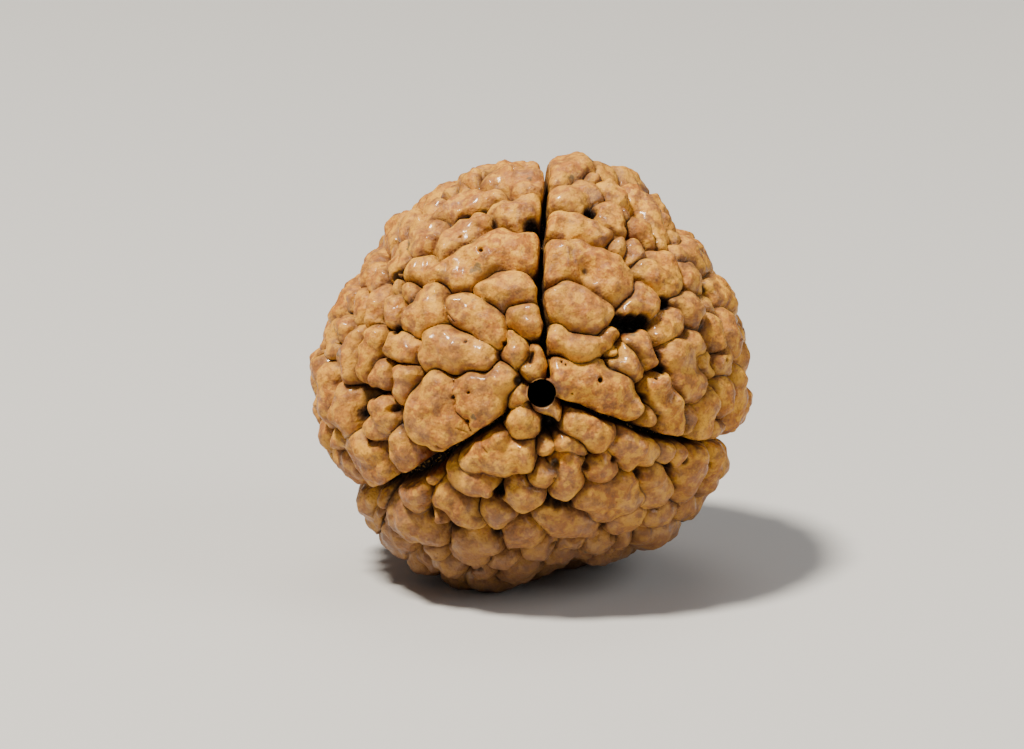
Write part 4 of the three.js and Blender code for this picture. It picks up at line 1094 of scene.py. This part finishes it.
def paintSkin():
    skin = Finish("rudrakshaSkin")
    places = skin.places()
    noises = {name: skin.noise(places, *values) for name, values in skinNoises.items()}
    mottle, grain = noises["mottle"], noises["grain"]
    border, firm, hollow, cleft = map(skin.attribute, ("border", "firm", "hollow", "cleft"))
    mouth, inside, nick, pit = map(skin.attribute, ("mouth", "inside", "nick", "pit"))
    height = skin.node("ShaderNodeSeparateXYZ", {}, {"Vector": places}, "Z")

    def mask(name, value):
        return skin.rise(value, *skinMasks[name])

    # where a shade shows, from 0 to 1; a noise has its middle at 0.5
    def cover(name, value):
        start, full, amount, colour, *broken = skinShades[name]
        if broken:
            value = value + (noises[broken[0]] - 0.5) * broken[1]
        return skin.rise(value, start, full)

    def lay(look, name, where):
        start, full, amount, colour, *broken = skinShades[name]
        return skin.mix(where * amount, look, skinColours[colour])

    # blotches of several sizes, over the lobes and their creases alike
    look = skinColours["ochre"]
    blotches = {"honey": noises["broad"], "crown": border, "pink": noises["pink"],
                "patch": noises["patch"], "pale": mottle, "brown": mottle,
                "darkGrain": grain, "paleGrain": grain}
    for name, value in blotches.items():
        look = lay(look, name, cover(name, value))
    look = skin.mix(skin.attribute("tone") * skinFinish["tone"], look, skinColours["rose"])
    # painted shade: the skin darkens towards the bottom of the seed
    look = lay(look, "paintedLowShade", cover("paintedLowShade", height))

    # paler along the lobes' edges, then painted shade: a darker band beside each crease and a dark line in
    # it
    look = lay(look, "edge", cover("edge", border) * mask("edgeMottle", mottle))
    look = lay(look, "paintedCreaseShade", cover("paintedCreaseShade", border) * mask("shadeFirm", firm))
    faint, added = skinFinish["paintedCreaseLine"]
    look = lay(look, "paintedCreaseLine", cover("paintedCreaseLine", border) * (faint + added * mask("lineFirm", firm)))
    # painted shade: darker where the skin lies deep, down in pinholes and cracks, and towards the clefts
    for name, value in {"hollow": hollow, "lip": cleft, "nick": nick}.items():
        look = lay(look, name, cover(name, value))

    # stains and specks
    onTop, added = skinFinish["rustHollow"]
    low = mask("stainHollow", hollow) * added + onTop
    look = lay(look, "rust", cover("rust", skin.attribute("rust") * low))
    look = lay(look, "slate", cover("slate", skin.attribute("slate") * skinFinish["slate"]))
    speck = cover("speck", noises["speck"])
    look = lay(look, "speck", speck)

    # pits and the clefts' floors are painted nearly black as shade, the pits' walls darker, partly stain
    # and partly painted shade, with a few dull pale painted glints
    look = lay(look, "pitWall", cover("pitWall", pit) * mask("pitSunk", hollow))
    dark = cover("pitFloor", pit) * mask("pitDeep", hollow)
    look = lay(look, "pitFloor", dark)
    look = lay(look, "cleftFloor", cover("cleftFloor", cleft))
    # painted highlights: small pale glints on the clefts' and pits' dark floors
    paintedGlint = cover("paintedCleftGlint", noises["paintedGlint"])
    look = lay(look, "paintedCleftGlint", paintedGlint * mask("cleftDeep", cleft))
    look = lay(look, "paintedPitGlint", paintedGlint * dark)

    # reddish skin round the bore's mouth, cut wood at its edge, and painted shade down its wall
    look = lay(look, "ring", cover("ring", mouth))
    cut = cover("cutWood", mouth) * mask("woodTop", inside)
    look = lay(look, "cutWood", cut * mask("woodMottle", mottle))
    look = lay(look, "boreWall", cover("boreWall", inside))
    skin.set("Base Color", look)

    matt = mask("matt", hollow)
    swing = (mottle + grain - 1) * skinFinish["roughnessSwing"]
    skin.set("Roughness", skinFinish["roughness"] + swing + matt * skinFinish["deepRoughness"])
    skin.set("Specular IOR Level", skinFinish["gloss"])
    coated = mask("coat", noises["pink"] + (grain - 0.5) * skinFinish["coatGrain"])
    skin.set("Coat Weight", coated * skinFinish["coat"] * (1 - matt))
    skin.set("Coat Roughness", skinFinish["coatRoughness"])

    bumps = 0
    for number, (size, rise) in enumerate(skinFinish["bumpSizes"]):
        bumps = bumps + skin.noise(places, size, 2, (number * 9, 4, 12)) * rise
    bumps = bumps - speck * skinFinish["speckDrop"]
    sockets = {"Height": bumps, "Distance": mm, "Strength": 1.0}
    skin.set("Normal", skin.node("ShaderNodeBump", {}, sockets))

    # deep in the bore little light comes back out, so there the skin is painted shade: a matt black shader
    # instead of the glossy one
    black = skin.node("ShaderNodeBsdfDiffuse", {}, {"Color": skinColours["paintedHoleShade"]})
    glossy = Wire(skin, skin.shader.outputs[0])
    both = skin.node("ShaderNodeMixShader", {}, {0: mask("hole", inside), 1: glossy, 2: black})
    skin.plug(skin.tree.nodes["Material Output"].inputs["Surface"], both)
    return skin.material


seed.data.materials.clear()
seed.data.materials.append(paintSkin())
print("skin painted")

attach(seed, "root")
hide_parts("seed")

floorSet = {
    "size": 2.0,
    "colour": (0.52, 0.51, 0.49, 1),
    "roughness": 0.8,
}
bpy.ops.object.select_all(action="DESELECT")
bpy.ops.mesh.primitive_plane_add(size=floorSet["size"])
floor = bpy.context.object
floor.name = "floor"
paper = Finish("paleFloor")
paper.set("Base Color", floorSet["colour"])
paper.set("Roughness", floorSet["roughness"])
floor.data.materials.append(paper.material)
print("floor laid")

# the camera looks along the front view that the lobes were laid out on
cameraSet = {
    "distance": 350,
    "pixelsPerMm": 440 / 24,        # the seed is 24 mm wide and takes up 440 pixels
    "seedCentre": (531, 371.5),     # where the seed's middle is in the picture, in pixels
    "frameSize": (1024, 749),
    "sensorWidth": 36,
    "clipStart": 0.01,          # in metres
}


def placeCamera():
    data = bpy.data.cameras.new("frontCamera")
    camera = bpy.data.objects.new("frontCamera", data)
    bpy.context.collection.objects.link(camera)
    scale = cameraSet["pixelsPerMm"]
    width, height = cameraSet["frameSize"]
    across, down = cameraSet["seedCentre"]
    data.sensor_width = cameraSet["sensorWidth"]
    data.lens = cameraSet["sensorWidth"] * cameraSet["distance"] / (width / scale)
    data.clip_start = cameraSet["clipStart"]
    place = frontOut * cameraSet["distance"]
    place = place + frontRight * (width / 2 - across) / scale + frontUp * (down - height / 2) / scale
    camera.location = (place + (0, 0, seedShape["seatDepth"])) * mm
    camera.rotation_euler = (math.radians(90 - seedShape["frontTilt"]), 0, 0)
    bpy.context.scene.camera = camera


placeCamera()

# soft lamps, all aimed at the seed's middle
lamps = {
    "key": {"place": (-0.2, -0.15, 0.56), "width": 0.1, "power": 8.9, "colour": (1, 0.94, 0.84)},
    "fill": {"place": (0.45, -0.2, 0.35), "width": 0.4, "power": 1.4, "colour": (0.97, 0.98, 1)},
    "top": {"place": (0.05, 0.2, 0.5), "width": 0.3, "power": 0.6, "colour": (1, 0.97, 0.93)},
}

skyLight = {
    "Color": (0.9, 0.95, 1, 1),
    "Strength": 0.16,
}


def addLamp(name, place, width, power, colour):
    data = bpy.data.lights.new(name, "AREA")
    data.shape = "DISK"
    data.size = width
    data.energy = power
    data.color = colour
    lamp = bpy.data.objects.new(name, data)
    bpy.context.collection.objects.link(lamp)
    lamp.location = place
    aim = Vector((0, 0, seedShape["seatDepth"] * mm)) - lamp.location
    lamp.rotation_euler = aim.to_track_quat("-Z", "Y").to_euler()


def lightSky():
    world = bpy.context.scene.world or bpy.data.worlds.new("studio")
    bpy.context.scene.world = world
    world.use_nodes = True
    for name, value in skyLight.items():
        world.node_tree.nodes["Background"].inputs[name].default_value = value


for name, lamp in lamps.items():
    addLamp(name, **lamp)
lightSky()
print("camera and lamps placed")

print("scene ready")
